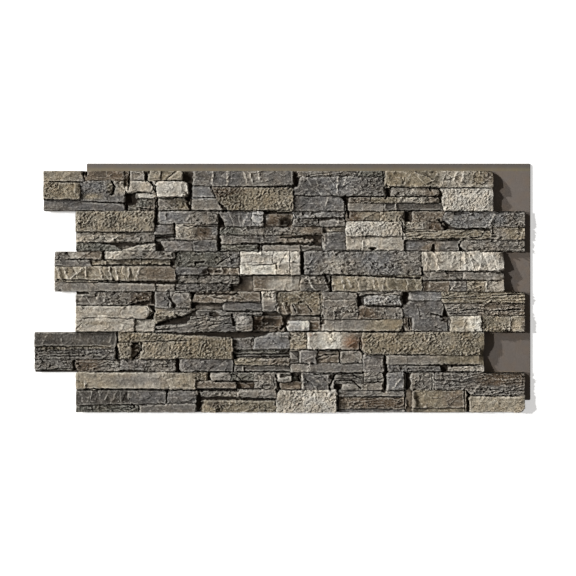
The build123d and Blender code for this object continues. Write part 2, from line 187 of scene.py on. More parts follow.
# Finish of the stones: place, paint and split. A stone with several places changes between them.
FINISHES = (
    ((-40, 86, "sand", "sawn"), (60, 88, "brown", "smooth"), (110, 88, "umber", "smooth"),
     (-60, 50, "tan", "pitted"), (-15, 50, "tan", "facets"), (30, 55, "blue", "rough"),
     (75, 55, "slate", "rough"), (108, 55, "cream", "facets"), (40, 32, "blue", "smooth"),
     (100, 30, "slate", "smooth"), (0, 12, "slate", "sawn"), (128, 80, "brown", "rough"),
     (152, 88, "stone", "smooth"), (197, 88, "sand", "smooth"), (218, 84, "olive", "smooth"),
     (250, 88, "sand", "smooth"), (160, 58, "cream", "smooth"), (240, 55, "ivory", "smooth"),
     (180, 38, "ivory", "smooth"), (165, 15, "moss", "rough"), (185, 10, "brown", "rough"),
     (225, 15, "stone", "rough"), (268, 14, "olive", "rough"), (316, 80, "grey", "smooth"),
     (360, 80, "slate", "smooth"), (395, 80, "slate", "smooth"), (436, 80, "stone", "smooth"),
     (500, 82, "grey", "smooth"), (315, 45, "blue", "sawn"), (330, 15, "stone", "smooth"),
     (365, 45, "umber", "pitted"), (400, 30, "olive", "pitted"), (470, 30, "tan", "pitted"),
     (525, 30, "sand", "pitted"), (600, 93, "stone", "strata"), (670, 93, "grey", "strata"),
     (740, 92, "moss", "rough"), (580, 60, "slate", "cleft"), (650, 60, "blue", "cleft"),
     (740, 60, "grey", "rough"), (600, 20, "slate", "smooth"), (650, 18, "blue", "smooth"),
     (710, 28, "brown", "rough"), (725, 9, "stone", "sawn"), (760, 28, "olive", "rough"),
     (850, 28, "cream", "rough"), (895, 28, "brown", "rough"), (785, 10, "charcoal", "smooth"),
     (860, 10, "charcoal", "sawn"), (800, 80, "tan", "smooth"), (880, 80, "olive", "cleft"),
     (950, 80, "cream", "cleft"), (1020, 80, "tan", "rough"), (830, 48, "stone", "rough"),
     (885, 48, "brown", "facets"), (980, 30, "ivory", "pitted")),
    ((60, 75, "sand", "pitted"), (60, 35, "cream", "rough"), (170, 35, "stone", "rough"),
     (50, 8, "moss", "rough"), (175, 10, "ivory", "rough"), (240, 85, "blue", "smooth"),
     (320, 85, "stone", "rough"), (222, 55, "rose", "smooth"), (222, 33, "charcoal", "smooth"),
     (275, 48, "cream", "rough"), (318, 50, "umber", "smooth"), (342, 50, "slate", "smooth"),
     (260, 12, "rose", "smooth"), (322, 12, "slate", "smooth"), (395, 78, "slate", "facets"),
     (430, 80, "blue", "smooth"), (454, 78, "frost", "cleft"), (500, 78, "umber", "smooth"),
     (530, 78, "brown", "smooth"), (380, 50, "moss", "rough"), (450, 50, "stone", "rough"),
     (520, 50, "stone", "rough"), (590, 50, "brown", "smooth"), (380, 28, "stone", "strata"),
     (460, 28, "grey", "rough"), (560, 28, "brown", "smooth"), (400, 8, "moss", "strata"),
     (510, 8, "stone", "smooth"), (590, 8, "charcoal", "smooth"), (600, 92, "frost", "rough"),
     (650, 92, "slate", "rough"), (575, 72, "grey", "rough"), (635, 72, "grey", "smooth"),
     (645, 54, "cream", "rough"), (645, 25, "slate", "smooth"), (690, 88, "umber", "smooth"),
     (735, 88, "sand", "smooth"), (790, 88, "sand", "pitted"), (740, 56, "ivory", "pitted"),
     (800, 56, "cream", "pitted"), (692, 20, "cream", "smooth"), (770, 20, "cream", "smooth"),
     (880, 86, "brown", "rough"), (850, 62, "cream", "rough"), (900, 62, "umber", "smooth"),
     (880, 40, "sand", "strata"), (990, 40, "olive", "strata"), (850, 15, "rose", "smooth"),
     (885, 12, "brown", "smooth"), (930, 15, "grey", "smooth"), (960, 80, "blue", "rough"),
     (1050, 80, "blue", "rough"), (1090, 70, "stone", "rough"), (1050, 45, "stone", "rough"),
     (1100, 45, "tan", "rough"), (1000, 14, "stone", "rough")),
    ((-40, 90, "grey", "rough"), (0, 92, "stone", "smooth"), (40, 90, "brown", "smooth"),
     (90, 90, "cream", "smooth"), (180, 90, "stone", "rough"), (-10, 71, "grey", "smooth"),
     (120, 73, "sand", "rough"), (0, 45, "sand", "facets"), (100, 45, "sand", "facets"),
     (215, 45, "brown", "smooth"), (50, 12, "stone", "sawn"), (225, 9, "stone", "smooth"),
     (280, 80, "moss", "rough"), (340, 80, "moss", "rough"), (390, 80, "slate", "rough"),
     (290, 51, "slate", "smooth"), (370, 51, "brown", "facets"), (300, 31, "stone", "rough"),
     (280, 10, "slate", "rough"), (350, 10, "charcoal", "rough"), (450, 83, "ivory", "smooth"),
     (525, 85, "ivory", "smooth"), (455, 54, "white", "smooth"), (530, 56, "cream", "smooth"),
     (460, 20, "brown", "smooth"), (500, 20, "cream", "smooth"), (540, 20, "cream", "smooth"),
     (620, 75, "blue", "rough"), (680, 60, "stone", "rough"), (760, 70, "blue", "rough"),
     (840, 70, "stone", "rough"), (600, 30, "stone", "rough"), (600, 10, "charcoal", "smooth"),
     (670, 20, "tan", "smooth"), (720, 20, "sand", "facets"), (820, 20, "olive", "facets"),
     (890, 75, "cream", "facets"), (930, 75, "cream", "smooth"), (990, 75, "ivory", "facets"),
     (1040, 75, "ivory", "facets"), (910, 38, "stone", "cleft"), (1010, 38, "stone", "smooth"),
     (895, 14, "brown", "smooth"), (955, 14, "grey", "smooth"), (1000, 14, "sand", "rough"),
     (1045, 14, "cream", "rough")),
    ((40, 82, "stone", "cleft"), (110, 82, "stone", "rough"), (165, 82, "umber", "rough"),
     (50, 50, "cream", "smooth"), (145, 50, "cream", "smooth"), (70, 15, "cream", "smooth"),
     (170, 15, "cream", "smooth"), (215, 80, "slate", "smooth"), (250, 80, "slate", "smooth"),
     (275, 80, "stone", "smooth"), (220, 40, "sand", "strata"), (260, 54, "stone", "strata"),
     (230, 7, "grey", "strata"), (330, 20, "stone", "strata"), (390, 20, "slate", "strata"),
     (420, 20, "stone", "strata"), (480, 20, "umber", "rough"), (380, 46, "grey", "strata"),
     (340, 85, "brown", "cleft"), (480, 90, "ivory", "rough"), (480, 65, "grey", "smooth"),
     (540, 80, "olive", "rough"), (600, 80, "tan", "rough"), (540, 55, "brown", "facets"),
     (420, 62, "slate", "sawn"), (570, 33, "stone", "smooth"), (550, 14, "frost", "smooth"),
     (598, 14, "umber", "smooth"), (655, 88, "stone", "smooth"), (660, 55, "stone", "rough"),
     (760, 95, "stone", "smooth"), (770, 78, "frost", "rough"), (725, 45, "umber", "smooth"),
     (780, 48, "stone", "rough"), (680, 15, "stone", "sawn"), (780, 15, "tan", "sawn"),
     (870, 88, "blue", "smooth"), (860, 55, "slate", "smooth"), (827, 18, "brown", "smooth"),
     (885, 18, "slate", "smooth"), (950, 85, "olive", "strata"), (1060, 85, "tan", "strata"),
     (960, 55, "stone", "strata"), (1050, 55, "brown", "strata"), (960, 20, "sand", "smooth"),
     (1000, 20, "white", "smooth"), (1030, 20, "olive", "pitted"), (1070, 20, "sand", "rough"),
     (1100, 20, "sand", "smooth")),
    ((-50, 82, "charcoal", "sawn"), (-50, 45, "charcoal", "rough"), (60, 45, "grey", "rough"),
     (-60, 20, "grey", "rough"), (40, 18, "umber", "strata"), (90, 18, "stone", "strata"),
     (145, 18, "rose", "rough"), (150, 90, "tan", "pitted"), (320, 82, "tan", "pitted"),
     (123, 52, "sand", "pitted"), (150, 52, "brown", "rough"), (200, 55, "sand", "pitted"),
     (340, 55, "tan", "pitted"), (215, 16, "stone", "rough"), (300, 18, "rose", "rough"),
     (370, 18, "slate", "smooth"), (420, 70, "grey", "rough"), (470, 72, "blue", "smooth"),
     (465, 50, "moss", "rough"), (465, 39, "charcoal", "rough"), (430, 26, "tan", "strata"),
     (500, 26, "brown", "strata"), (407, 9, "charcoal", "smooth"), (480, 9, "charcoal", "sawn"),
     (555, 80, "sand", "rough"), (595, 80, "ivory", "smooth"), (635, 80, "ivory", "smooth"),
     (688, 80, "brown", "smooth"), (546, 38, "charcoal", "smooth"), (580, 38, "rose", "smooth"),
     (628, 38, "brown", "smooth"), (688, 38, "stone", "cleft"), (558, 11, "stone", "sawn"),
     (650, 11, "grey", "sawn"), (800, 72, "tan", "pitted"), (960, 72, "olive", "pitted"),
     (743, 22, "rose", "smooth"), (850, 30, "stone", "sawn"), (960, 30, "olive", "sawn"),
     (845, 9, "slate", "rough"), (972, 9, "stone", "strata")),
    ((80, 80, "sand", "sawn"), (180, 80, "cream", "sawn"), (260, 80, "sand", "smooth"),
     (100, 38, "charcoal", "facets"), (190, 38, "slate", "smooth"), (265, 38, "slate", "smooth"),
     (60, 10, "moss", "rough"), (230, 10, "grey", "sawn"), (314, 90, "sand", "rough"),
     (362, 88, "stone", "smooth"), (415, 88, "moss", "rough"), (475, 82, "stone", "rough"),
     (350, 69, "brown", "smooth"), (423, 69, "umber", "smooth"), (350, 47, "stone", "rough"),
     (450, 46, "stone", "smooth"), (340, 14, "tan", "rough"), (440, 14, "olive", "rough"),
     (520, 86, "stone", "smooth"), (530, 65, "brown", "smooth"), (520, 25, "cream", "pitted"),
     (600, 25, "ivory", "pitted"), (600, 78, "slate", "cleft"), (665, 85, "charcoal", "cleft"),
     (692, 63, "stone", "smooth"), (700, 47, "grey", "smooth"), (790, 47, "slate", "smooth"),
     (680, 25, "brown", "rough"), (760, 25, "umber", "strata"), (740, 4, "slate", "sawn"),
     (743, 86, "stone", "rough"), (743, 64, "stone", "smooth"), (800, 75, "blue", "smooth"),
     (865, 75, "stone", "rough"), (940, 80, "grey", "strata"), (1050, 80, "umber", "strata"),
     (1050, 55, "grey", "strata"), (900, 30, "olive", "smooth"), (950, 30, "brown", "smooth"),
     (900, 5, "olive", "sawn"), (1050, 20, "sand", "smooth")),
)
PLAIN_FINISH = [(0.0, 0.0, "grey", "smooth")]

# Places on packed stones that belong to one cleft stone
MERGES = (
    (((30, 55), (108, 55), (40, 32)), ((316, 80), (360, 80), (395, 80), (436, 80), (500, 82))),
    (((275, 48), (315, 50)), ((395, 78), (430, 80))),
    (((890, 75), (990, 75)),),
    (((40, 82), (165, 82)),),
    (((320, 82), (340, 55)), ((635, 80), (688, 80))),
    (),
)

# Marks on the stones. A ridge or a crack runs from one place to another. A pit, a bump or a stain has a
# place, then its length and its width in mm. Last comes how high or deep it is in mm, or a stain's paint.
# Some dark stains are painted shade, noted where they stand.
MARKS = (
    (("pit", 19, 94, 9, 12, 4), ("bump", 80, 62, 26, 30, 3), ("stain", 87, 58, 16, 28, "olive"),
     ("stain", 45, 62, 44, 20, "blue"), ("stain", 42, 36, 50, 18, "tan"), ("ridge", 40, 60, 60, 48, 1.2),
     ("crack", 14, 62, 92, 70, 1.5), ("stain", -60, 12, 60, 30, "grey"), ("ridge", 40, 33, 118, 28, 1.2),
     ("pit", 140, 26, 30, 30, 3), ("crack", 222, 76, 252, 100, 2.5), ("bump", 215, 55, 60, 24, 1.5),
     ("pit", 272, 55, 12, 34, 3), ("ridge", 131, 69, 186, 70, 1.0), ("crack", 189, 44, 201, 70, 4),
     ("ridge", 342, 97, 341, 68, 2.4), ("ridge", 380, 97, 379, 66, 2.6), ("ridge", 421, 95, 429, 68, 2.2),
     ("ridge", 436, 92, 443, 68, 2.4), ("ridge", 457, 97, 459, 78, 2.4), ("bump", 500, 80, 70, 30, 1.5),
     ("ridge", 655, 82, 653, 44, 2.8), ("ridge", 600, 80, 606, 62, 1.6), ("ridge", 675, 82, 668, 66, 1.6),
     ("ridge", 631, 33, 622, 10, 1.8), ("bump", 640, 20, 60, 26, 1.5), ("crack", 814, 83, 818, 66, 2),
     ("crack", 823, 82, 816, 66, 2), ("ridge", 835, 90, 822, 68, 1.2), ("ridge", 905, 96, 889, 68, 1.4),
     ("ridge", 925, 94, 912, 66, 2.0), ("ridge", 953, 96, 941, 74, 2.4), ("ridge", 969, 97, 962, 70, 2.4),
     ("ridge", 995, 96, 988, 66, 1.8), ("stain", 1032, 80, 26, 60, "brown"),
     ("stain", 848, 52, 40, 18, "cream"), ("pit", 900, 56, 24, 6, 3), ("bump", 846, 29, 16, 14, 2.5),
     ("bump", 867, 29, 14, 14, 2.5), ("bump", 893, 28, 18, 12, 2), ("pit", 879, 29, 10, 12, 2),
     ("ridge", 772, 18, 771, 3, 2.6), ("ridge", 799, 18, 800, 3, 2.8), ("stain", 1025, 50, 30, 40, "ivory")),
    (("pit", 125, 20, 110, 9, 6), ("pit", 222, 34, 44, 10, 4), ("bump", 220, 56, 40, 26, 2.5),
     # The charcoal stain at 222, 36 is painted shade on the lower part of the stone, where it slopes down.
     ("stain", 222, 36, 44, 12, "charcoal"), ("crack", 442, 96, 438, 78, 3), ("crack", 438, 78, 452, 64, 3),
     ("bump", 448, 80, 34, 26, 2), ("stain", 468, 84, 26, 26, "frost"), ("bump", 494, 78, 44, 30, 5),
     ("pit", 534, 76, 18, 34, 5), ("pit", 361, 22, 8, 34, 6), ("pit", 623, 34, 12, 40, 5),
     ("ridge", 621, 42, 622, 10, 2.4), ("ridge", 657, 80, 652, 64, 2.2), ("ridge", 367, 68, 356, 96, 1.4),
     ("stain", 934, 86, 24, 22, "stone"), ("pit", 955, 95, 28, 13, 5), ("bump", 945, 79, 20, 12, 2.5),
     ("ridge", 1046, 92, 1030, 64, 2.0), ("pit", 887, 59, 10, 10, 4), ("pit", 928, 62, 16, 16, 5),
     ("bump", 825, 38, 14, 14, 3), ("stain", 825, 38, 14, 14, "cream"), ("bump", 899, 42, 20, 12, 1.5),
     ("crack", 1006, 50, 1030, 36, 2), ("ridge", 1037, 52, 1036, 28, 2.2),
     ("stain", 1108, 46, 30, 20, "sand"), ("stain", 836, 16, 34, 20, "blue"), ("pit", 899, 15, 12, 14, 3),
     ("pit", 742, 7, 16, 7, 6), ("pit", 810, 44, 7, 7, 4), ("ridge", 714, 35, 717, 6, 2.6),
     ("stain", 735, 20, 44, 24, "ivory"), ("bump", 275, 50, 44, 34, 2), ("stain", 322, 50, 32, 30, "umber"),
     ("pit", 330, 48, 22, 26, 2.5), ("ridge", 430, 95, 418, 66, 1.6), ("stain", 570, 25, 70, 24, "brown")),
    (("stain", -4, 92, 24, 18, "cream"), ("crack", -24, 98, -12, 84, 2), ("ridge", -17, 98, 8, 84, 1.6),
     ("ridge", 85, 84, 100, 97, 1.8), ("ridge", 99, 84, 112, 96, 1.4), ("ridge", 205, 84, 240, 96, 1.2),
     ("ridge", -44, 58, -36, 32, 2.0), ("ridge", -27, 54, -18, 30, 2.0), ("ridge", -12, 32, 18, 58, 2.8),
     ("pit", -12, 52, 26, 20, 2.5), ("ridge", 25, 60, 27, 30, 3.0), ("pit", 48, 52, 26, 16, 2),
     ("ridge", 60, 60, 69, 28, 3.0), ("ridge", 84, 60, 91, 28, 3.0), ("ridge", 100, 58, 107, 28, 2.6),
     ("ridge", 133, 58, 135, 34, 2.8), ("ridge", 160, 60, 153, 34, 2.8), ("pit", 185, 24, 150, 7, 6),
     ("crack", 212, 56, 220, 46, 1.5), ("ridge", 364, 59, 364, 44, 2.4), ("ridge", 385, 59, 386, 44, 2.4),
     ("ridge", 404, 58, 408, 44, 2.2), ("pit", 350, 52, 18, 12, 3), ("pit", 374, 52, 9, 10, 3),
     ("crack", 512, 74, 526, 94, 2), ("crack", 544, 74, 558, 92, 2), ("stain", 540, 20, 60, 40, "cream"),
     ("bump", 535, 20, 60, 36, 4), ("ridge", 578, 36, 597, 4, 2.8), ("ridge", 566, 40, 600, 30, 1.5),
     ("pit", 646, 30, 22, 16, 5), ("ridge", 664, 32, 672, 8, 2.2), ("ridge", 678, 32, 688, 12, 2.2),
     ("ridge", 742, 32, 746, 10, 1.6), ("ridge", 770, 32, 768, 8, 1.6), ("stain", 610, 55, 40, 30, "stone"),
     ("stain", 650, 62, 60, 50, "cream"), ("stain", 740, 80, 70, 40, "blue"),
     ("crack", 802, 70, 852, 71, 2.5), ("ridge", 874, 96, 876, 56, 2.4), ("ridge", 896, 92, 904, 56, 3.0),
     ("ridge", 942, 94, 938, 62, 2.2), ("crack", 962, 96, 960, 56, 2), ("ridge", 969, 97, 972, 56, 3.0),
     ("ridge", 983, 90, 990, 64, 2.6), ("ridge", 1012, 90, 1008, 66, 1.4), ("ridge", 868, 26, 867, 4, 2.4),
     ("ridge", 885, 24, 884, 12, 2.0), ("ridge", 950, 24, 938, 4, 2.2), ("bump", 985, 14, 24, 18, 2),
     ("ridge", 1026, 24, 1024, 4, 2.0), ("stain", 1045, 16, 40, 20, "cream"),
     ("ridge", 250, 92, 330, 66, 1.0), ("pit", 350, 68, 50, 12, 3), ("bump", 330, 28, 40, 14, 2),
     ("bump", 310, 12, 40, 12, 2.5)),
    (("ridge", 12, 80, 26, 96, 1.6), ("ridge", 58, 92, 50, 72, 1.6), ("ridge", 74, 92, 72, 72, 2.0),
     ("pit", 165, 76, 60, 18, 3), ("ridge", 113, 62, 113, 36, 1.2), ("crack", 176, 62, 188, 50, 2.5),
     ("crack", 188, 50, 178, 36, 2.5), ("crack", 4, 8, 16, 20, 2), ("stain", 60, 22, 110, 10, "sand"),
     ("bump", 325, 60, 84, 14, 6), ("stain", 325, 60, 84, 13, "stone"), ("crack", 228, 94, 246, 64, 3),
     ("crack", 244, 92, 230, 66, 3), ("bump", 266, 80, 36, 34, 3), ("ridge", 280, 92, 294, 70, 2.0),
     # The charcoal stain at 254, 27 is painted shade on the hollow facet there.
     ("pit", 252, 27, 66, 18, 6), ("stain", 254, 27, 70, 18, "charcoal"), ("ridge", 205, 8, 300, 24, 2.2),
     ("ridge", 300, 24, 398, 34, 2.0), ("crack", 300, 14, 396, 22, 3), ("ridge", 210, 50, 290, 44, 1.6),
     ("bump", 422, 30, 30, 30, 4), ("stain", 422, 28, 30, 30, "frost"), ("pit", 482, 24, 80, 28, 3),
     ("crack", 330, 92, 372, 80, 2.5), ("crack", 390, 95, 430, 78, 2.5), ("ridge", 300, 80, 345, 94, 1.8),
     ("ridge", 372, 78, 410, 94, 1.8), ("stain", 482, 88, 34, 24, "cream"), ("ridge", 503, 70, 508, 46, 2.4),
     ("ridge", 519, 70, 527, 46, 2.4), ("ridge", 544, 70, 552, 48, 2.2), ("pit", 512, 60, 8, 20, 2.5),
     ("pit", 535, 60, 9, 20, 2.5), ("crack", 575, 94, 610, 78, 2), ("stain", 574, 20, 26, 24, "white"),
     ("ridge", 572, 26, 568, 4, 2.0), ("pit", 524, 18, 12, 26, 5), ("ridge", 618, 76, 698, 78, 1.6),
     ("crack", 620, 80, 700, 82, 2.5), ("ridge", 620, 56, 698, 54, 1.2), ("crack", 722, 88, 790, 98, 4),
     ("ridge", 722, 70, 770, 88, 1.8), ("ridge", 750, 69, 796, 88, 1.6), ("pit", 822, 84, 20, 26, 4),
     ("crack", 857, 62, 858, 44, 2), ("pit", 890, 42, 12, 10, 3), ("stain", 950, 88, 24, 16, "sand"),
     ("crack", 920, 80, 1118, 84, 2), ("ridge", 1020, 45, 1062, 57, 2.2),
     ("stain", 1046, 52, 30, 12, "cream"), ("crack", 930, 58, 1110, 50, 2.5),
     ("crack", 940, 46, 1040, 44, 2.5), ("ridge", 820, 32, 821, 6, 2.0), ("pit", 838, 20, 8, 26, 5),
     ("crack", 900, 12, 918, 4, 3), ("stain", 992, 20, 28, 40, "white"), ("ridge", 972, 34, 966, 10, 1.8),
     ("crack", 1012, 36, 1011, 4, 1.5), ("ridge", 1086, 36, 1083, 4, 3.0),
     ("stain", 1117, 20, 10, 60, "brown"), ("pit", 998, 4, 8, 6, 4)),
    (("ridge", -72, 92, -82, 72, 0.9), ("ridge", -35, 82, -32, 68, 0.9), ("ridge", 10, 94, 14, 78, 0.9),
     ("ridge", 90, 94, 84, 74, 1.0), ("stain", -50, 61, 90, 8, "tan"), ("stain", 40, 63, 100, 8, "tan"),
     ("crack", -90, 52, 90, 56, 2.5), ("pit", -10, 44, 120, 9, 3), ("ridge", -90, 40, 60, 46, 1.4),
     ("stain", 62, 52, 60, 10, "slate"), ("crack", -3, 28, 14, 14, 3), ("pit", -60, 5, 70, 6, 4),
     ("stain", -70, 20, 60, 24, "grey"), ("ridge", 20, 26, 108, 24, 1.2), ("crack", 30, 16, 175, 12, 2),
     ("pit", 152, 55, 26, 46, 4), ("bump", 120, 56, 26, 40, 2), ("ridge", 108, 76, 200, 92, 0.5),
     # The brown stain at 380, 92 is painted shadow under the foot of the course above.
     ("stain", 148, 55, 20, 44, "brown"), ("pit", 380, 92, 170, 10, 6), ("stain", 380, 92, 170, 12, "brown"),
     ("crack", 440, 58, 439, 78, 2), ("ridge", 492, 94, 530, 86, 1.2), ("crack", 476, 92, 496, 76, 1.2),
     ("crack", 500, 96, 520, 78, 1.2), ("stain", 421, 68, 30, 20, "rose"), ("pit", 410, 52, 22, 8, 4),
     ("stain", 474, 27, 24, 12, "stone"), ("ridge", 396, 32, 532, 31, 1.0), ("ridge", 422, 16, 532, 17, 1.6),
     ("ridge", 418, 15, 419, 3, 1.4), ("stain", 585, 93, 11, 12, "rust"), ("stain", 601, 92, 7, 12, "brown"),
     ("stain", 612, 66, 8, 12, "tan"), ("stain", 638, 80, 64, 44, "white"), ("bump", 688, 78, 40, 36, 3),
     ("stain", 690, 73, 50, 32, "rust"), ("ridge", 582, 96, 583, 62, 1.4), ("bump", 546, 40, 18, 22, 3),
     ("bump", 582, 40, 34, 24, 2), ("crack", 606, 30, 650, 44, 2.5), ("ridge", 656, 26, 668, 52, 2.6),
     ("ridge", 585, 22, 581, 2, 2.0), ("ridge", 562, 50, 562, 26, 1.6), ("ridge", 736, 34, 728, 12, 1.2),
     ("pit", 920, 11, 14, 16, 6), ("ridge", 800, 12, 900, 16, 1.2), ("stain", 980, 10, 60, 10, "cream"),
     ("crack", 785, 8, 900, 10, 2), ("crack", 940, 12, 1010, 8, 2), ("stain", 1000, 30, 40, 20, "tan"),
     ("stain", 900, 80, 120, 30, "sand")),
    (("bump", 15, 68, 20, 16, 1.5), ("stain", 13, 68, 20, 18, "tan"), ("ridge", 26, 76, 24, 64, 2.6),
     ("crack", 2, 78, 20, 74, 2), ("stain", 150, 80, 140, 30, "stone"), ("pit", 130, 58, 260, 5, 3),
     ("crack", 118, 30, 126, 46, 2), ("crack", 126, 46, 136, 30, 2), ("ridge", 78, 44, 74, 30, 1.6),
     ("ridge", 100, 48, 92, 30, 1.4), ("ridge", 40, 50, 30, 30, 1.0), ("crack", 60, 12, 140, 6, 2),
     ("ridge", 20, 10, 80, 14, 1.6), ("ridge", 228, 50, 229, 26, 1.2), ("pit", 331, 92, 10, 14, 5),
     # The brown stain at 833, 28 is the stone's brown with painted shade on its slope.
     ("bump", 835, 28, 30, 60, 11), ("stain", 833, 28, 26, 60, "brown"), ("bump", 362, 89, 40, 16, 2.5),
     ("bump", 415, 88, 50, 16, 1.5), ("ridge", 455, 92, 494, 70, 1.6), ("crack", 470, 96, 490, 84, 2),
     ("crack", 305, 80, 440, 78, 3), ("bump", 450, 47, 90, 18, 3), ("ridge", 312, 50, 360, 46, 1.2),
     ("pit", 400, 33, 200, 8, 5), ("ridge", 408, 54, 490, 55, 1.0), ("stain", 350, 20, 50, 20, "brown"),
     ("pit", 315, 22, 24, 36, 3), ("bump", 519, 87, 28, 18, 2.5), ("bump", 549, 86, 26, 18, 9),
     ("stain", 549, 86, 28, 18, "moss"), ("ridge", 566, 94, 568, 62, 2.4), ("crack", 612, 94, 636, 66, 2.5),
     ("ridge", 590, 90, 610, 74, 1.6), ("crack", 645, 88, 700, 76, 3), ("crack", 648, 66, 664, 58, 3),
     ("bump", 693, 64, 40, 12, 2.5), ("crack", 668, 92, 716, 88, 3), ("ridge", 580, 34, 640, 48, 0.8),
     ("bump", 585, 28, 130, 46, 2), ("ridge", 725, 56, 728, 72, 1.6), ("crack", 722, 70, 762, 84, 2.5),
     ("crack", 722, 88, 762, 92, 2.5), ("ridge", 792, 60, 810, 84, 2.2), ("ridge", 726, 50, 816, 51, 1.2),
     ("stain", 770, 46, 90, 12, "stone"), ("ridge", 893, 96, 894, 58, 2.4), ("crack", 862, 90, 858, 64, 1.5),
     ("ridge", 988, 46, 1006, 68, 3.0), ("crack", 900, 80, 1010, 74, 2.5), ("crack", 960, 60, 1118, 54, 2.5),
     ("ridge", 1040, 84, 1116, 80, 1.4), ("stain", 940, 34, 60, 40, "brown"),
     ("stain", 872, 36, 60, 36, "tan"), ("bump", 873, 14, 8, 10, 2), ("stain", 873, 14, 8, 10, "ivory"),
     ("pit", 994, 30, 24, 34, 4), ("stain", 1060, 26, 100, 24, "sand"), ("stain", 1040, 6, 110, 8, "sand"),
     ("ridge", 846, 5, 968, 6, 0.8)),
)
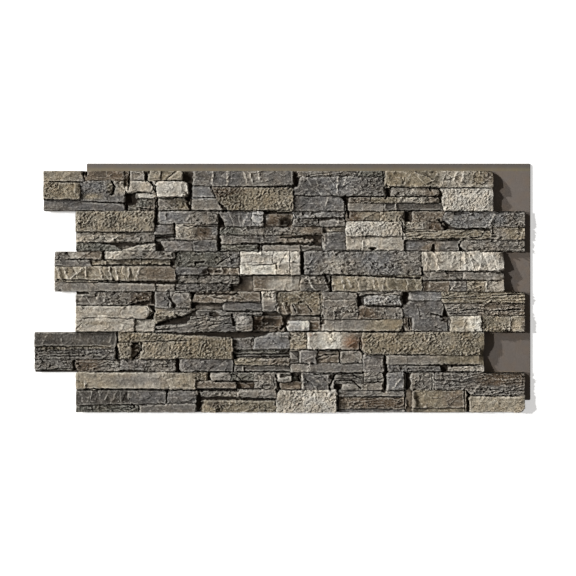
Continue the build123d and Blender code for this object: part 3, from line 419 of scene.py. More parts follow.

# Deep gaps between the stones, painted dark as base coat and painted shade: from one place to another, then
# the width in mm at each end
GAP_DEPTH = 7.5
GAPS = (
    ((-63, 73, 17, 72, 2.4, 2.8), (26, 100, 26, 88, 4, 5), (91, 74, 98, 60, 2.6, 4),
     (98, 60, 94, 43, 4, 2.6), (25, 24, 122, 20, 2.2, 3.2), (133, 97, 132, 52, 3, 3),
     (128, 46, 128, 3, 5, 7), (146, 45, 163, 45, 2.2, 2.2), (183, 99, 175, 74, 7, 4),
     (189, 74, 200, 60, 3, 4), (200, 60, 202, 48, 4, 3), (200, 75, 277, 75, 2.2, 2.6),
     (283, 70, 287, 39, 8, 9), (197, 34, 268, 34, 2.2, 2.8), (280, 36, 281, 10, 15, 3),
     (293, 34, 349, 34, 2.2, 2.2), (203, 32, 205, 4, 4, 5), (163, 6, 194, 5, 2.2, 3),
     (336, 60, 430, 60, 2.4, 3.2), (430, 60, 545, 59, 3.2, 5), (338, 60, 350, 32, 3, 2.2),
     (357, 20, 374, 3, 3, 10), (548, 97, 552, 62, 9, 6), (575, 85, 637, 85, 1.8, 1.8),
     (767, 98, 769, 76, 4, 3), (776, 60, 777, 36, 11, 10), (783, 60, 815, 60, 2.2, 1.8),
     (677, 36, 770, 36, 2.2, 2.6), (673, 37, 672, 20, 7, 4), (672, 20, 671, 4, 3.2, 3),
     (783, 36, 907, 36, 2.2, 2.8), (895, 37, 912, 36, 5, 7), (876, 57, 1043, 57, 2, 2.2),
     (885, 60, 886, 50, 4, 3), (200, 1.5, 535, 1.5, 1.8, 2), (783, 1.5, 912, 1.5, 2.2, 2.2)),
    ((203, 98, 205, 70, 9, 7), (247, 69, 248, 40, 5, 7), (200, 34, 248, 37, 4, 4), (200, 27, 216, 3, 3, 16),
     (12, 22, 76, 22, 1.8, 1.8), (76, 21, 110, 18, 2, 8), (110, 18, 150, 17, 9, 7),
     (150, 18, 200, 22, 6, 4.5), (10, 48, 195, 48, 1.6, 1.6), (357, 92, 366, 66, 3, 18),
     (358, 38, 360, 6, 6, 7), (414, 19, 510, 19, 4, 5.5), (510, 19, 612, 19, 6.5, 8.5),
     (510, 34, 570, 36, 3.5, 6), (570, 36, 612, 37, 10, 14), (458, 16, 458, 2, 9, 7),
     (600, 80, 671, 84, 12, 2.2), (681, 97, 682, 84, 6, 4), (816, 72, 817, 30, 2.6, 2.6),
     (908, 78, 924, 58, 5, 10), (840, 31, 932, 31, 2, 2.4), (932, 31, 960, 30, 5.5, 5.5),
     (960, 30, 1012, 36, 2.8, 2.4), (1012, 36, 1023, 52, 2.4, 3.4), (894, 18, 894, 3, 4, 13),
     (959, 18, 959, 3, 4.5, 4.5), (270, 63, 345, 62, 1.6, 1.6), (820, 48, 905, 50, 2, 2)),
    ((71, 99, 72, 82, 8, 7), (-17, 81, 41, 81, 2, 2), (138, 81, 205, 81, 1.8, 1.8),
     (42, 66, 170, 66, 1.8, 2.4), (170, 66, 240, 65, 2.4, 5), (240, 70, 246, 60, 7, 9),
     (-45, 29, 60, 28, 2.6, 2.8), (60, 28, 150, 24, 3, 4.5), (150, 24, 252, 22, 5.5, 7.5),
     (300, 72, 322, 75, 7, 3), (355, 70, 382, 86, 3.5, 2.4), (411, 41, 535, 41, 2.6, 2.8),
     (385, 10, 411, 12, 5, 7), (566, 97, 567, 50, 8, 9), (615, 43, 740, 39, 2.6, 3.6),
     (740, 38, 860, 33, 3.6, 4.6), (621, 42, 640, 8, 6, 13), (865, 60, 866, 42, 4.5, 5.5),
     (885, 51, 1065, 51, 2.4, 2.8), (879, 27, 1060, 27, 1.8, 2), (648, 99, 710, 99, 1.8, 1.8),
     (1010, 99, 1065, 99, 2.2, 2.6), (534, 100, 535, 46, 1.6, 1.6)),
    ((4, 97, 33, 96, 6, 5), (4, 66, 130, 65, 2, 2.8), (130, 66, 190, 74, 3.4, 13), (192, 98, 193, 78, 5, 9),
     (178, 34, 196, 54, 2.2, 4.5), (235, 88, 246, 64, 3, 9), (250, 98, 297, 98, 2, 2),
     (287, 95, 404, 94, 6.5, 6.5), (291, 74, 292, 62, 4, 10), (202, 19, 256, 33, 4, 15),
     (256, 33, 284, 31, 14, 3), (200, 6, 237, 8, 3.4, 2.2), (390, 43, 396, 18, 6, 8),
     (371, 50, 477, 50, 1.8, 2), (462, 98, 463, 74, 4, 3), (532, 41, 526, 20, 7, 10),
     (526, 20, 512, 7, 10, 5), (541, 68, 550, 50, 2.2, 3.4), (578, 66, 590, 50, 2.2, 3.4),
     (522, 41, 612, 40, 2.6, 2.6), (706, 92, 708, 66, 7, 10), (715, 90, 745, 94, 3.4, 1.8),
     (727, 64, 818, 62, 3.4, 4.6), (616, 41, 617, 22, 4, 10), (832, 33, 833, 6, 3.4, 3.4),
     (817, 12, 818, 1, 6, 15), (921, 57, 922, 34, 3, 18), (888, 46, 915, 38, 3.4, 4.4),
     (930, 38, 930, 2, 2.8, 3), (547, 1.5, 708, 1.5, 2.8, 2.8), (708, 1.5, 813, 1.5, 2, 2),
     (1040, 90, 1110, 94, 1.8, 1.8), (960, 52, 1000, 58, 1.8, 2.2), (1000, 50, 1110, 56, 1.8, 3.2),
     (905, 82, 1000, 88, 1.6, 2), (610, 98, 611, 2, 1.8, 1.8)),
    ((287, 98, 343, 96, 2.6, 8), (343, 95, 430, 94, 9.5, 9.5), (430, 95, 478, 98, 7.5, 2.2),
     (105, 99, 106, 76, 4.5, 3.4), (104, 62, 107, 32, 4, 13), (164, 74, 163, 55, 4.5, 7),
     (163, 55, 142, 30, 7, 4.5), (157, 75, 277, 79, 2.4, 2.4), (-92, 40, 20, 40, 2.2, 2.8),
     (-51, 9, 2, 9, 2.4, 2.8), (-4, 28, -2, 8, 4.5, 5.5), (253, 32, 259, 2, 6, 9),
     (250, 33, 277, 33, 2, 1.6), (392, 49, 398, 34, 3.4, 11), (394, 34, 394, 2, 2.2, 2.6),
     (413, 45, 532, 45, 2.4, 2.8), (420, 38, 532, 39, 1.6, 1.8), (292, 1.5, 392, 1.5, 2.4, 2.4),
     (404, 1.5, 532, 1.5, 2.6, 2.6), (532, 56, 664, 56, 2.2, 2.6), (600, 35, 620, 43, 2.4, 3),
     (620, 43, 651, 44, 3, 2.2), (710, 84, 709, 56, 2.2, 3.4), (716, 50, 729, 45, 10, 2),
     (770, 43, 771, 18, 3.4, 4.6), (771, 18, 778, 2, 5.5, 9), (731, 44, 870, 44, 1.6, 1.8),
     (817, 17, 882, 17, 1.8, 2.4), (882, 17, 940, 16, 5, 6), (940, 16, 1006, 18, 5, 2.2),
     (922, 16, 924, 3, 9, 6), (817, 1.5, 1015, 1.5, 2.2, 2.2), (692, 99, 813, 99, 2, 2.2)),
    ((24, 59, 128, 57, 3, 3.8), (128, 58, 228, 57, 2.6, 1.6), (75, 19, 178, 19, 1.8, 2.2),
     (140, 22, 146, 14, 4, 6), (228, 56, 227, 26, 2.6, 2.6), (308, 54, 311, 2, 6, 10),
     (316, 34, 420, 35, 7, 7), (420, 35, 500, 33, 5, 4.5), (309, 55, 405, 55, 6, 6.5),
     (349, 77, 463, 76, 2.6, 2.2), (400, 92, 425, 72, 2.4, 2.4), (500, 92, 508, 58, 4.5, 5.5),
     (512, 95, 556, 90, 2.4, 6), (556, 92, 558, 78, 4.5, 3.4), (594, 95, 718, 96, 2.6, 2.6),
     (648, 94, 634, 66, 3.4, 5.5), (634, 66, 636, 54, 5.5, 3.4), (648, 78, 690, 80, 2.4, 2.8),
     (690, 80, 712, 60, 2.8, 3.4), (690, 94, 712, 84, 2.4, 2.4), (772, 92, 770, 54, 3.4, 10),
     (822, 98, 824, 62, 7, 7), (822, 60, 821, 6, 3, 2.4), (890, 94, 890, 58, 2.8, 2.8),
     (970, 56, 972, 4, 3.4, 2.4), (975, 54, 982, 44, 3.4, 9), (986, 42, 1108, 41, 2, 2.2),
     (741, 39, 813, 39, 1.8, 2), (651, 44, 652, 4, 2.6, 2.6)),
)

# Rounded hollows, painted dark as base coat and painted shade: place, then width and height in mm
HOLLOW_DEPTH = 6.0
HOLLOWS = (
    ((142, 28, 34, 32), (283, 86, 26, 28)),
    ((526, 72, 34, 25), (826, 86, 20, 27), (742, 7, 20, 8), (660, 79, 22, 5)),
    ((330, 48, 26, 19), (421, 22, 30, 36), (356, 50, 18, 8)),
    ((346, 43, 26, 15), (822, 82, 24, 29), (482, 24, 56, 20)),
    ((522, 49, 26, 13),),
    ((313, 28, 14, 34), (640, 88, 16, 12), (520, 90, 20, 8)),
)

# Right-hand ends of the courses that reach out at the left: share of the way down, and height in mm
END_REACH = 12.0
END_PROFILES = {
    0: ((0.0, 13), (0.07, 20), (0.16, 28), (0.36, 30), (0.44, 22), (0.5, 24), (0.6, 31), (0.7, 27),
        (0.85, 26), (1.0, 29)),
    2: ((0.0, 14), (0.12, 20), (0.42, 31), (0.5, 17), (0.62, 27), (0.68, 22), (0.95, 31), (1.0, 24)),
    4: ((0.0, 29), (0.3, 30), (0.42, 26), (0.56, 15), (0.62, 17), (0.95, 31), (1.0, 27)),
}

# Seed of the noise tables. The third value of each noise, fractal or cells call picks a pattern from them.
SEED = 11


def linear(srgb):
    """A colour as it looks, turned into the light it reflects."""
    return [c / 12.92 if c <= 0.04045 else ((c + 0.055) / 1.055) ** 2.4 for c in srgb]


def course_foot(row):
    """Height of the foot of a course, rows counted from the top."""
    return (COURSES - 1 - row) * COURSE_HEIGHT


def height_at(row, percent):
    """Height of a place of the tables over the foot of the panel's stack."""
    return course_foot(row) + percent / 100 * COURSE_HEIGHT


# Random directions and a random order that all the noise shares
GRADIENTS = np.random.default_rng(SEED).uniform(0, 2 * math.pi, 256)
GRADIENT_X = np.cos(GRADIENTS)
GRADIENT_Y = np.sin(GRADIENTS)
SHUFFLE = np.random.default_rng(SEED + 1).permutation(256)


def hashed(ix, iy, seed):
    """A number from 0 to 255 for each cell."""
    return SHUFFLE[(SHUFFLE[(ix + seed) & 255] + iy) & 255]


def noise(x, y, seed=0):
    """Smooth noise from about -1 to 1, one feature to a unit."""
    ix = np.floor(x).astype(np.int64)
    iy = np.floor(y).astype(np.int64)
    fx = x - ix
    fy = y - iy
    ease_x = fx * fx * (3 - 2 * fx)
    ease_y = fy * fy * (3 - 2 * fy)

    def corner(dx, dy):
        """The slope of one corner of the cell, followed to the point."""
        place = hashed(ix + dx, iy + dy, seed)
        return GRADIENT_X[place] * (fx - dx) + GRADIENT_Y[place] * (fy - dy)

    low = corner(0, 0) * (1 - ease_x) + corner(1, 0) * ease_x
    high = corner(0, 1) * (1 - ease_x) + corner(1, 1) * ease_x
    return 1.5 * (low * (1 - ease_y) + high * ease_y)


def fractal(x, y, seed=0, octaves=3):
    """Noise on noise, each octave half as large."""
    total = np.zeros_like(x)
    size = 1.0
    for octave in range(octaves):
        total += size * noise(x / size, y / size, seed + 17 * octave)
        size *= 0.5
    return total


def cells(x, y, seed):
    """Split planes: each cell has a height and a tilt of its own, from about -1 to 1."""
    ix = np.floor(x).astype(np.int64)
    iy = np.floor(y).astype(np.int64)
    nearest = np.full(x.shape, 9.0)
    value = np.zeros_like(x)
    for dx in (-1, 0, 1):
        for dy in (-1, 0, 1):
            place = hashed(ix + dx, iy + dy, seed)
            slope = SHUFFLE[place]
            away_x = x - (ix + dx + 0.5 + 0.42 * GRADIENT_X[place])
            away_y = y - (iy + dy + 0.5 + 0.42 * GRADIENT_Y[place])
            distance = away_x * away_x + away_y * away_y
            closer = distance < nearest
            nearest = np.where(closer, distance, nearest)
            tilt = GRADIENT_X[slope] * away_x + GRADIENT_Y[slope] * away_y
            here = 0.5 * (slope / 127.5 - 1) + 0.9 * tilt
            value = np.where(closer, here, value)
    return value


def steps(phase, seed, rise=0.14):
    """Ramps that fall slowly and climb fast at each whole number, each of its own height."""
    whole = np.floor(phase)
    share = phase - whole
    height = 0.55 + 0.45 * np.sin(2.4 * whole + seed)
    ramp = np.where(share < rise, 2 * share / rise - 1, 1 - 2 * (share - rise) / (1 - rise))
    return ramp * height


def blurred(field, radius):
    """Box blur, twice along each side of the grid."""
    width = 2 * radius + 1
    for _ in range(4):
        total = np.cumsum(np.pad(field, ((radius + 1, radius), (0, 0)), mode="edge"), axis=0)
        field = ((total[width:] - total[:-width]) / width).T
    return field


def grid_lines(stops, cell):
    """Grid lines about one cell apart that fall on every stop."""
    stops = sorted(set(stops))
    lines = set()
    for start, end in zip(stops, stops[1:]):
        count = max(1, round((end - start) / cell))
        lines.update(round(start + (end - start) * i / count, 4) for i in range(count + 1))
    return np.array(sorted(lines))


def cad_layout():
    """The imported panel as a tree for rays, with the number of the stone that each face belongs to."""
    bm = bmesh.new()
    bm.from_mesh(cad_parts[NODE].data)
    bmesh.ops.remove_doubles(bm, verts=bm.verts, dist=0.01 * MM)
    bm.faces.ensure_lookup_table()
    bm.normal_update()
    proud = (BED_TOP + PROUD_OF_BED) * MM

    def stands_proud(face):
        """Whether a face reaches above the bed."""
        return max(v.co.z for v in face.verts) > proud

    stone_of = [-1] * len(bm.faces)
    count = 0
    for start in bm.faces:
        if stone_of[start.index] >= 0 or not stands_proud(start):
            continue
        stack = [start]
        stone_of[start.index] = count
        while stack:
            face = stack.pop()
            for other in (beside for edge in face.edges for beside in edge.link_faces):
                if stone_of[other.index] < 0 and stands_proud(other):
                    stone_of[other.index] = count
                    stack.append(other)
        count += 1
    tree = BVHTree.FromBMesh(bm)
    bm.free()
    return tree, stone_of, count


def spread_to(rounds, start):
    """Distance in mm from each point to the nearest start point, found in steps over the grid."""
    distance = np.where(start, 0.0, FAR)
    diagonal = math.hypot(CELL_X, CELL_Y)
    for _ in range(rounds):
        padded = np.pad(distance, 1, constant_values=FAR)
        near = [
            padded[:-2, 1:-1] + CELL_X, padded[2:, 1:-1] + CELL_X,
            padded[1:-1, :-2] + CELL_Y, padded[1:-1, 2:] + CELL_Y,
            padded[:-2, :-2] + diagonal, padded[2:, 2:] + diagonal,
            padded[:-2, 2:] + diagonal, padded[2:, :-2] + diagonal,
        ]
        distance = np.minimum(distance, np.minimum.reduce(near))
    return distance


def grown(stone, rounds):
    """Stones spread over the joints beside them, one grid cell a round."""
    for _ in range(rounds):
        padded = np.pad(stone, 1, constant_values=-1)
        for near in (padded[:-2, 1:-1], padded[2:, 1:-1], padded[1:-1, :-2], padded[1:-1, 2:]):
            stone = np.where((stone < 0) & (near >= 0), near, stone)
    return stone


def beside_line(x, y, x1, y1, x2, y2):
    """Share of the line that each point lies along, and its distances beside the line and beyond its ends."""
    length = math.hypot(x2 - x1, y2 - y1)
    along = ((x - x1) * (x2 - x1) + (y - y1) * (y2 - y1)) / length
    side = ((x - x1) * (y2 - y1) - (y - y1) * (x2 - x1)) / length
    beyond = np.maximum(np.maximum(-along, along - length), 0)
    return np.clip(along / length, 0, 1), side, beyond


class Relief:
    """The front of the panel as heights over a grid, with what each point is made of."""

    def __init__(self):
        starts = [-reach for reach in REACHES]
        ends = [COURSE_LENGTH - reach for reach in REACHES]
        self.xs = grid_lines([*starts, *ends], CELL_X)
        self.ys = grid_lines([row * COURSE_HEIGHT for row in range(COURSES + 1)], CELL_Y)
        self.x, self.y = np.meshgrid(self.xs, self.ys, indexing="ij")
        self.row = np.clip(COURSES - 1 - np.floor(self.y / COURSE_HEIGHT + 1e-6).astype(int), 0, COURSES - 1)
        reach = np.array(REACHES)[self.row]
        self.left = -reach
        self.right = COURSE_LENGTH - reach
        self.palette = {name: np.array(linear(colour)) for name, colour in PAINTS.items()}
        self.ripple_x = 1.4 * noise(self.x / 9, self.y / 7, 71)
        self.ripple_y = 1.4 * noise(self.x / 9, self.y / 7, 72)
        self.read_stones()
        layers = self.layers()
        self.split_stones(layers)
        self.lay_bed(layers["crumbs"])
        self.mark_stones()
        self.cut_gaps()
        self.wear_edges()
        self.shape_ends()
        self.ridge = self.z - blurred(self.z, RIDGE_REACH)
        self.hollow = blurred(self.z, HOLLOW_REACH) - self.z
        self.shade_depth = blurred(self.z, SHADE_DEPTH_REACH) - self.z

    def inside(self, x, y):
        """Places drawn in from the ends of their course and from the panel's head and foot."""
        x = np.clip(x, self.left + EDGE_INSET, self.right - EDGE_INSET)
        return x, np.clip(y, FOOT_INSET, STACK_HEIGHT - FOOT_INSET)

    def read_stones(self):
        """Read each point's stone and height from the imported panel, with the outlines made uneven."""
        tree, stone_of, self.count = cad_layout()
        x, y = self.x, self.y
        wander_x = 2.4 * fractal(x / 30, y / 16, 3) + 0.8 * noise(x / 6, y / 5, 4)
        wander_y = 1.8 * fractal(x / 34, y / 20, 5) + 0.8 * noise(x / 7, y / 6, 6)
        near_x, near_y = self.inside(x + wander_x, y + wander_y)
        safe_x, safe_y = self.inside(x, y)
        self.stone = np.full(x.shape, -1)
        face_z = np.full(x.shape, np.nan)
        down = Vector((0, 0, -1))
        bed = BED_LEVEL * MM
        for at in np.ndindex(x.shape):
            for px, py in ((near_x[at], near_y[at]), (safe_x[at], safe_y[at])):
                origin = Vector(((px + DATUM_X) * MM, (py + DATUM_Y) * MM, 1.0))
                hit, normal, index, _ = tree.ray_cast(origin, down)
                if hit is not None and hit.z > bed:
                    self.stone[at] = stone_of[index]
                    if normal.z > FACE_NORMAL and stone_of[index] >= 0:
                        face_z[at] = hit.z / MM
                    break
        for row, groups in enumerate(MERGES):
            for group in groups:
                kept, *others = (self.stone_at(px, height_at(row, percent)) for px, percent in group)
                for other in others:
                    if min(kept, other) >= 0:
                        self.stone[self.stone == other] = kept
        self.stone = grown(self.stone, JOINT_STEPS)
        self.z = np.full(x.shape, BED_LEVEL)
        for stone in range(self.count):
            where = self.stone == stone
            known = where & ~np.isnan(face_z)
            if known.sum() > ENOUGH_POINTS:
                terms = np.stack([near_x[known], near_y[known], np.ones(known.sum())], axis=1)
                slope = np.linalg.lstsq(terms, face_z[known], rcond=None)[0]
                self.z[where] = slope[0] * near_x[where] + slope[1] * near_y[where] + slope[2]
            elif where.any():
                self.z[where] = np.nanmax(face_z[where]) if known.any() else SMALL_STONE

    def layers(self):
        """Every layer of relief, from about -1 to 1."""
        x, y = self.x, self.y
        bend = 3.0 * fractal(x / 50, y / 30, 21)
        ripple = 1.2 * noise(x / 7, y / 6, 22)
        swing = 8.0 * noise(x / 40, y / 20, 23)
        busy = np.clip(0.85 + 1.1 * noise(x / 38, y / 22, 25), 0.25, 1.5)
        twist = 2.2 * fractal(x / 16, y / 11, 26)
        lean = (x + 0.9 * y) / math.sqrt(1.8)
        across = (y - 0.9 * x) / math.sqrt(1.8)
        shift = 0.7 * cells(x / 55, y / 40, 24)
        return {
            "wave": fractal(x / 42, y / 17, 31),
            "fine": fractal(x / 6.0, y / 5.0, 32, 2),
            "tooled": busy * fractal((lean + 2 * ripple) / 7.2, (across + ripple) / 4.1, 39, 2),
            "chips": busy * cells((x + 1.5 * ripple + twist) / 15, (y + ripple) / 8.5, 33),
            "crumbs": busy * cells((x + ripple + twist) / 5.8, (y + ripple) / 4.4, 43),
            "slabs": cells((x + 2 * ripple) / 38, (y + bend) / 17, 34),
            "ridges": 0.6 - 2 * np.abs(noise((x + ripple) / 15, (y + ripple) / 9, 44)),
            "crests": busy * (0.6 - 2 * np.abs(noise((x + twist) / 9.5, (y + 0.6 * twist) / 6.5, 46))),
            "pits": -np.clip(noise(x / 6.5, y / 5.2, 35) - 0.1, 0, 1) * 1.8,
            "lips": busy * steps((y + 2.1 * bend + 1.5 * ripple - 0.09 * x) / 8.5 + shift, 1.0),
            "teeth": steps((x + swing + 1.6 * ripple + 0.35 * y) / 24, 2.0),
            "slants": steps((lean + ripple) / 21 + 0.3 * noise(x / 30, y / 15, 45), 3.0),
        }

    def split_stones(self, layers):
        """Cut the relief of each stone's split and spread its paint."""
        x, y = self.x, self.y
        self.paint = np.tile(self.palette["base"], (*x.shape, 1))
        self.grain = np.full(x.shape, BED_GRAIN)
        drift_x = x + 9 * fractal(x / 25, y / 18, 41)
        drift_y = y + 5 * fractal(x / 22, y / 14, 42)
        uneven = 1 + 0.14 * layers["slabs"] + 0.12 * layers["chips"] + 0.18 * layers["wave"]
        places = self.places()
        for stone in range(self.count):
            where = self.stone == stone
            if not where.any():
                continue
            chosen = places.get(stone, PLAIN_FINISH)
            weights = []
            for place_x, place_y, _, _ in chosen:
                away = (drift_x[where] - place_x) ** 2 + 6 * (drift_y[where] - place_y) ** 2
                weights.append(1 / (away + 60) ** 2)
            total = np.sum(weights, axis=0)
            height = np.zeros(where.sum())
            colour = np.zeros((where.sum(), 3))
            grain = np.zeros(where.sum())
            for weight, (_, _, paint, style) in zip(weights, chosen):
                share = weight / total
                colour += share[:, None] * self.palette[paint]
                grain += share * GRAIN[style]
                for layer, depth in STYLES[style].items():
                    height += share * depth * layers[layer][where]
            excess = max(0.0, float(np.percentile(self.z[where] + height, 97)) - PANEL_TOP + 0.1)
            self.z[where] = np.clip(self.z[where] + height - excess, LOWEST_STONE, HIGHEST_STONE)
            self.paint[where] = colour * np.clip(uneven[where], 0.6, 1.5)[:, None]
            self.grain[where] = grain

    def lay_bed(self, crumbs):
        """Roughen the bed between the stones and give it the colour of the stone beside it, mixed with brown
        and darker, as base coat and painted shade in the recesses.
        """
        bed = self.stone < 0
        self.z[bed] = BED_TOP + (1.2 * fractal(self.x / 14, self.y / 9, 51) + crumbs * 0.6)[bed]
        owner = grown(self.stone, BED_STEPS)
        for stone in range(self.count):
            recess = bed & (owner == stone)
            if recess.any():
                own = self.paint[self.stone == stone].mean(axis=0)
                # Painted shade: the recess takes the stone's colour darkened, with some brown base coat.
                self.paint[recess] = 0.35 * own + 0.25 * self.palette["brown"]

    def around(self, x1, y1, x2, y2, reach_x, reach_y):
        """The part of the grid around a line, with its rippled x and y."""
        columns = (self.xs > min(x1, x2) - reach_x) & (self.xs < max(x1, x2) + reach_x)
        rows = (self.ys > min(y1, y2) - reach_y) & (self.ys < max(y1, y2) + reach_y)
        part = np.ix_(columns, rows)
        return part, self.x[part] + self.ripple_x[part], self.y[part] + self.ripple_y[part]

    def lay_paint(self, part, paint, share):
        """Mix a share of a paint into a part of the grid."""
        share = share[..., None]
        self.paint[part] = self.paint[part] * (1 - share) + self.palette[paint] * share

    def mark_stones(self):
        """Cut the ridges, cracks, pits and bumps, and lay the stains."""
        for row, marks in enumerate(MARKS):
            for kind, x1, percent, a, b, value in marks:
                y1 = height_at(row, percent)
                if kind in ("ridge", "crack"):
                    self.draw_line(kind, x1, y1, a, height_at(row, b), value)
                    continue
                part, x, y = self.around(x1, y1, x1, y1, a, b)
                away = ((x - x1) / (0.5 * a)) ** 2 + ((y - y1) / (0.5 * b)) ** 2
                if kind == "stain":
                    self.lay_paint(part, value, np.exp(-away ** 1.5))
                else:
                    self.z[part] += (value if kind == "bump" else -value) * np.exp(-away ** 2)

    def draw_line(self, kind, x1, y1, x2, y2, size):
        """Raise a ridge with pale paint on its steep flank, the side the lamps face, as dry-brushed paint and
        painted highlight, or cut a crack from one place to another.
        """
        part, x, y = self.around(x1, y1, x2, y2, MARK_REACH, MARK_REACH)
        x = x + 1.6 * noise(x / 11 + size, y / 8, 73)
        y = y + 1.6 * noise(x / 11, y / 8 + size, 74)
        _, side, beyond = beside_line(x, y, x1, y1, x2, y2)
        if y2 - y1 < 0.6 * (x2 - x1):
            side = -side
        fade = np.exp(-(beyond / 2.5) ** 2) * np.clip(0.75 + 0.9 * noise(x / 6, y / 6, 75), 0.15, 1)
        if kind == "ridge":
            fall = np.where(side < 0, np.exp(-(side / 2.4) ** 2), np.exp(-(side / 4) ** 2))
            self.z[part] += 1.3 * size * fade * fall
            # Pale paint on the lit flank of the ridge: dry-brushed paint and painted highlight.
            drybrush_highlight = np.exp(-((side + 1.0) / 1.9) ** 2)
            self.lay_paint(part, "ivory", 0.7 * min(1.0, size / 2.4) ** 1.5 * fade * drybrush_highlight)
        else:
            self.z[part] -= 1.5 * size * fade * np.exp(-(side / 1.4) ** 2)

    def sink_and_shade(self, part, share, depth, black):
        """Cut a share of the depth and paint it dark there, as dark base coat and painted shade, with browner
        painted shade towards the rim.
        """
        self.z[part] -= depth * share
        # The dark and brown paint here is painted shade laid over the dark base coat of the gaps and hollows.
        dark = 0.9 * share[..., None]
        tint = 0.6 * self.palette["umber"] * (1 - black * dark ** 2) + self.palette["ink"] * black * dark ** 2
        self.paint[part] = self.paint[part] * (1 - dark) + tint * dark

    def cut_gaps(self):
        """Cut the deep gaps and the hollows course by course, and paint them dark with base coat and painted
        shade.
        """
        for row, (gaps, hollows) in enumerate(zip(GAPS, HOLLOWS)):
            for x1, percent1, x2, percent2, width1, width2 in gaps:
                y1, y2 = height_at(row, percent1), height_at(row, percent2)
                part, x, y = self.around(x1, y1, x2, y2, GAP_REACH, GAP_REACH)
                along, side, beyond = beside_line(x, y, x1, y1, x2, y2)
                half = 0.5 * (width1 + (width2 - width1) * along) * (1.05 + 0.7 * noise(x / 7, y / 6, 76))
                share = np.exp(-(np.hypot(side, beyond) / half) ** 4)
                self.sink_and_shade(part, share, GAP_DEPTH, min(1.0, 6.5 / max(width1, width2)))
            for x1, percent, width, height in hollows:
                y1 = height_at(row, percent)
                part, x, y = self.around(x1, y1, x1, y1, width, width)
                away = ((x - x1) / (0.5 * width)) ** 2 + ((y - y1) / (0.5 * height)) ** 2
                self.sink_and_shade(part, np.exp(-away ** 3), HOLLOW_DEPTH, 0.8)
        self.z = np.clip(self.z, DEEPEST_CUT, HIGHEST_STONE)

    def wear_edges(self):
        """Round and chip the edges of the stones, and paint the level joints dark, as dark joints and painted
        shade under the stones.
        """
        x, y = self.x, self.y
        label = np.pad(self.stone, 1, mode="edge")
        upright = (label[:-2, 1:-1] != self.stone) | (label[2:, 1:-1] != self.stone)
        level = (label[1:-1, :-2] != self.stone) | (label[1:-1, 2:] != self.stone)
        outside = (np.abs(x - self.left) < 0.1) | (np.abs(x - self.right) < 0.1)
        outside |= (y < 0.1) | (y > STACK_HEIGHT - 0.1)
        edge_distance = spread_to(EDGE_STEPS, upright | level | outside)
        bed_distance = spread_to(LEVEL_STEPS, level)
        end = np.clip(1 - np.minimum(x - self.left, self.right - x) / 9, 0, 1)
        wear = np.clip(1.3 + 0.7 * noise(x / 11, y / 8, 61), 0.7, 2.8)
        groove = np.clip(0.55 + 1.9 * noise(x / 30, y / 16, 63), 0.1, 2.6)
        rounding = np.clip(1 - edge_distance / wear, 0, 1) ** 2 * groove
        bed_joint = np.clip(1.8 + 3.0 * noise(x / 45, y / 25, 64), 0.3, 5.0)
        bed_share = np.clip(1 - bed_distance / 2.2, 0, 1)
        rounding = np.maximum(rounding, bed_share ** 1.3 * bed_joint)
        # Ink in the level joints: dark joint paint and painted shade under the stones.
        self.lay_paint(..., "ink", bed_share * np.clip((bed_joint - 1.2) / 3, 0, 0.8))
        broken = 8.0 * np.clip(noise(x / 15, y / 10, 62) - 0.14, 0, 1) + 1.0 * end
        chip = np.clip(broken - edge_distance, 0, None) * 0.8
        drop = np.minimum(rounding + chip, DEEPEST_WEAR)
        on_stone = self.stone >= 0
        self.z[on_stone] = np.maximum(self.z - drop, DEEPEST_CUT)[on_stone]

    def shape_ends(self):
        """Bring the right-hand ends of the courses that reach out at the left to their profiles."""
        wander = 0.015 * noise(self.y / 4, self.x / 9, 65)
        for row, profile in END_PROFILES.items():
            down_course = 1 - (self.y - course_foot(row)) / COURSE_HEIGHT + wander
            target = np.interp(down_course, *zip(*profile))
            share = np.clip(1 - (self.right - self.x) / END_REACH, 0, 1) * (self.row == row)
            self.z = self.z * (1 - share) + np.minimum(target, HIGHEST_STONE) * share

    def places(self):
        """The finishes of each stone, from the table's places."""
        places = {}
        for row, in_course in enumerate(FINISHES):
            for x, percent, paint, style in in_course:
                y = height_at(row, percent)
                stone = self.stone_at(x, y)
                if stone >= 0:
                    places.setdefault(stone, []).append((x, y, paint, style))
        return places

    def stone_at(self, x, y):
        """The stone at a place of the panel."""
        return int(self.stone[int(np.argmin(np.abs(self.xs - x))), int(np.argmin(np.abs(self.ys - y)))])

    def nearest(self, points):
        """Indices of the grid point nearest to each point of the panel, in millimetres."""
        def index(lines, values):
            """The line nearest to each value."""
            right = np.clip(np.searchsorted(lines, values), 1, len(lines) - 1)
            return right - (values - lines[right - 1] < lines[right] - values)
        return index(self.xs, points[:, 0]), index(self.ys, points[:, 1])


def read_array(items, name, width=1, kind=np.float32):
    """One property of all the items of a mesh, a row to an item."""
    values = np.empty(len(items) * width, kind)
    items.foreach_get(name, values)
    return values.reshape(-1, width) if width > 1 else values


def applied(obj, modifier):
    """The object's mesh with a modifier made real."""
    depsgraph = bpy.context.evaluated_depsgraph_get()
    mesh = bpy.data.meshes.new_from_object(obj.evaluated_get(depsgraph))
    obj.modifiers.remove(modifier)
    old = obj.data
    obj.data = mesh
    bpy.data.meshes.remove(old)


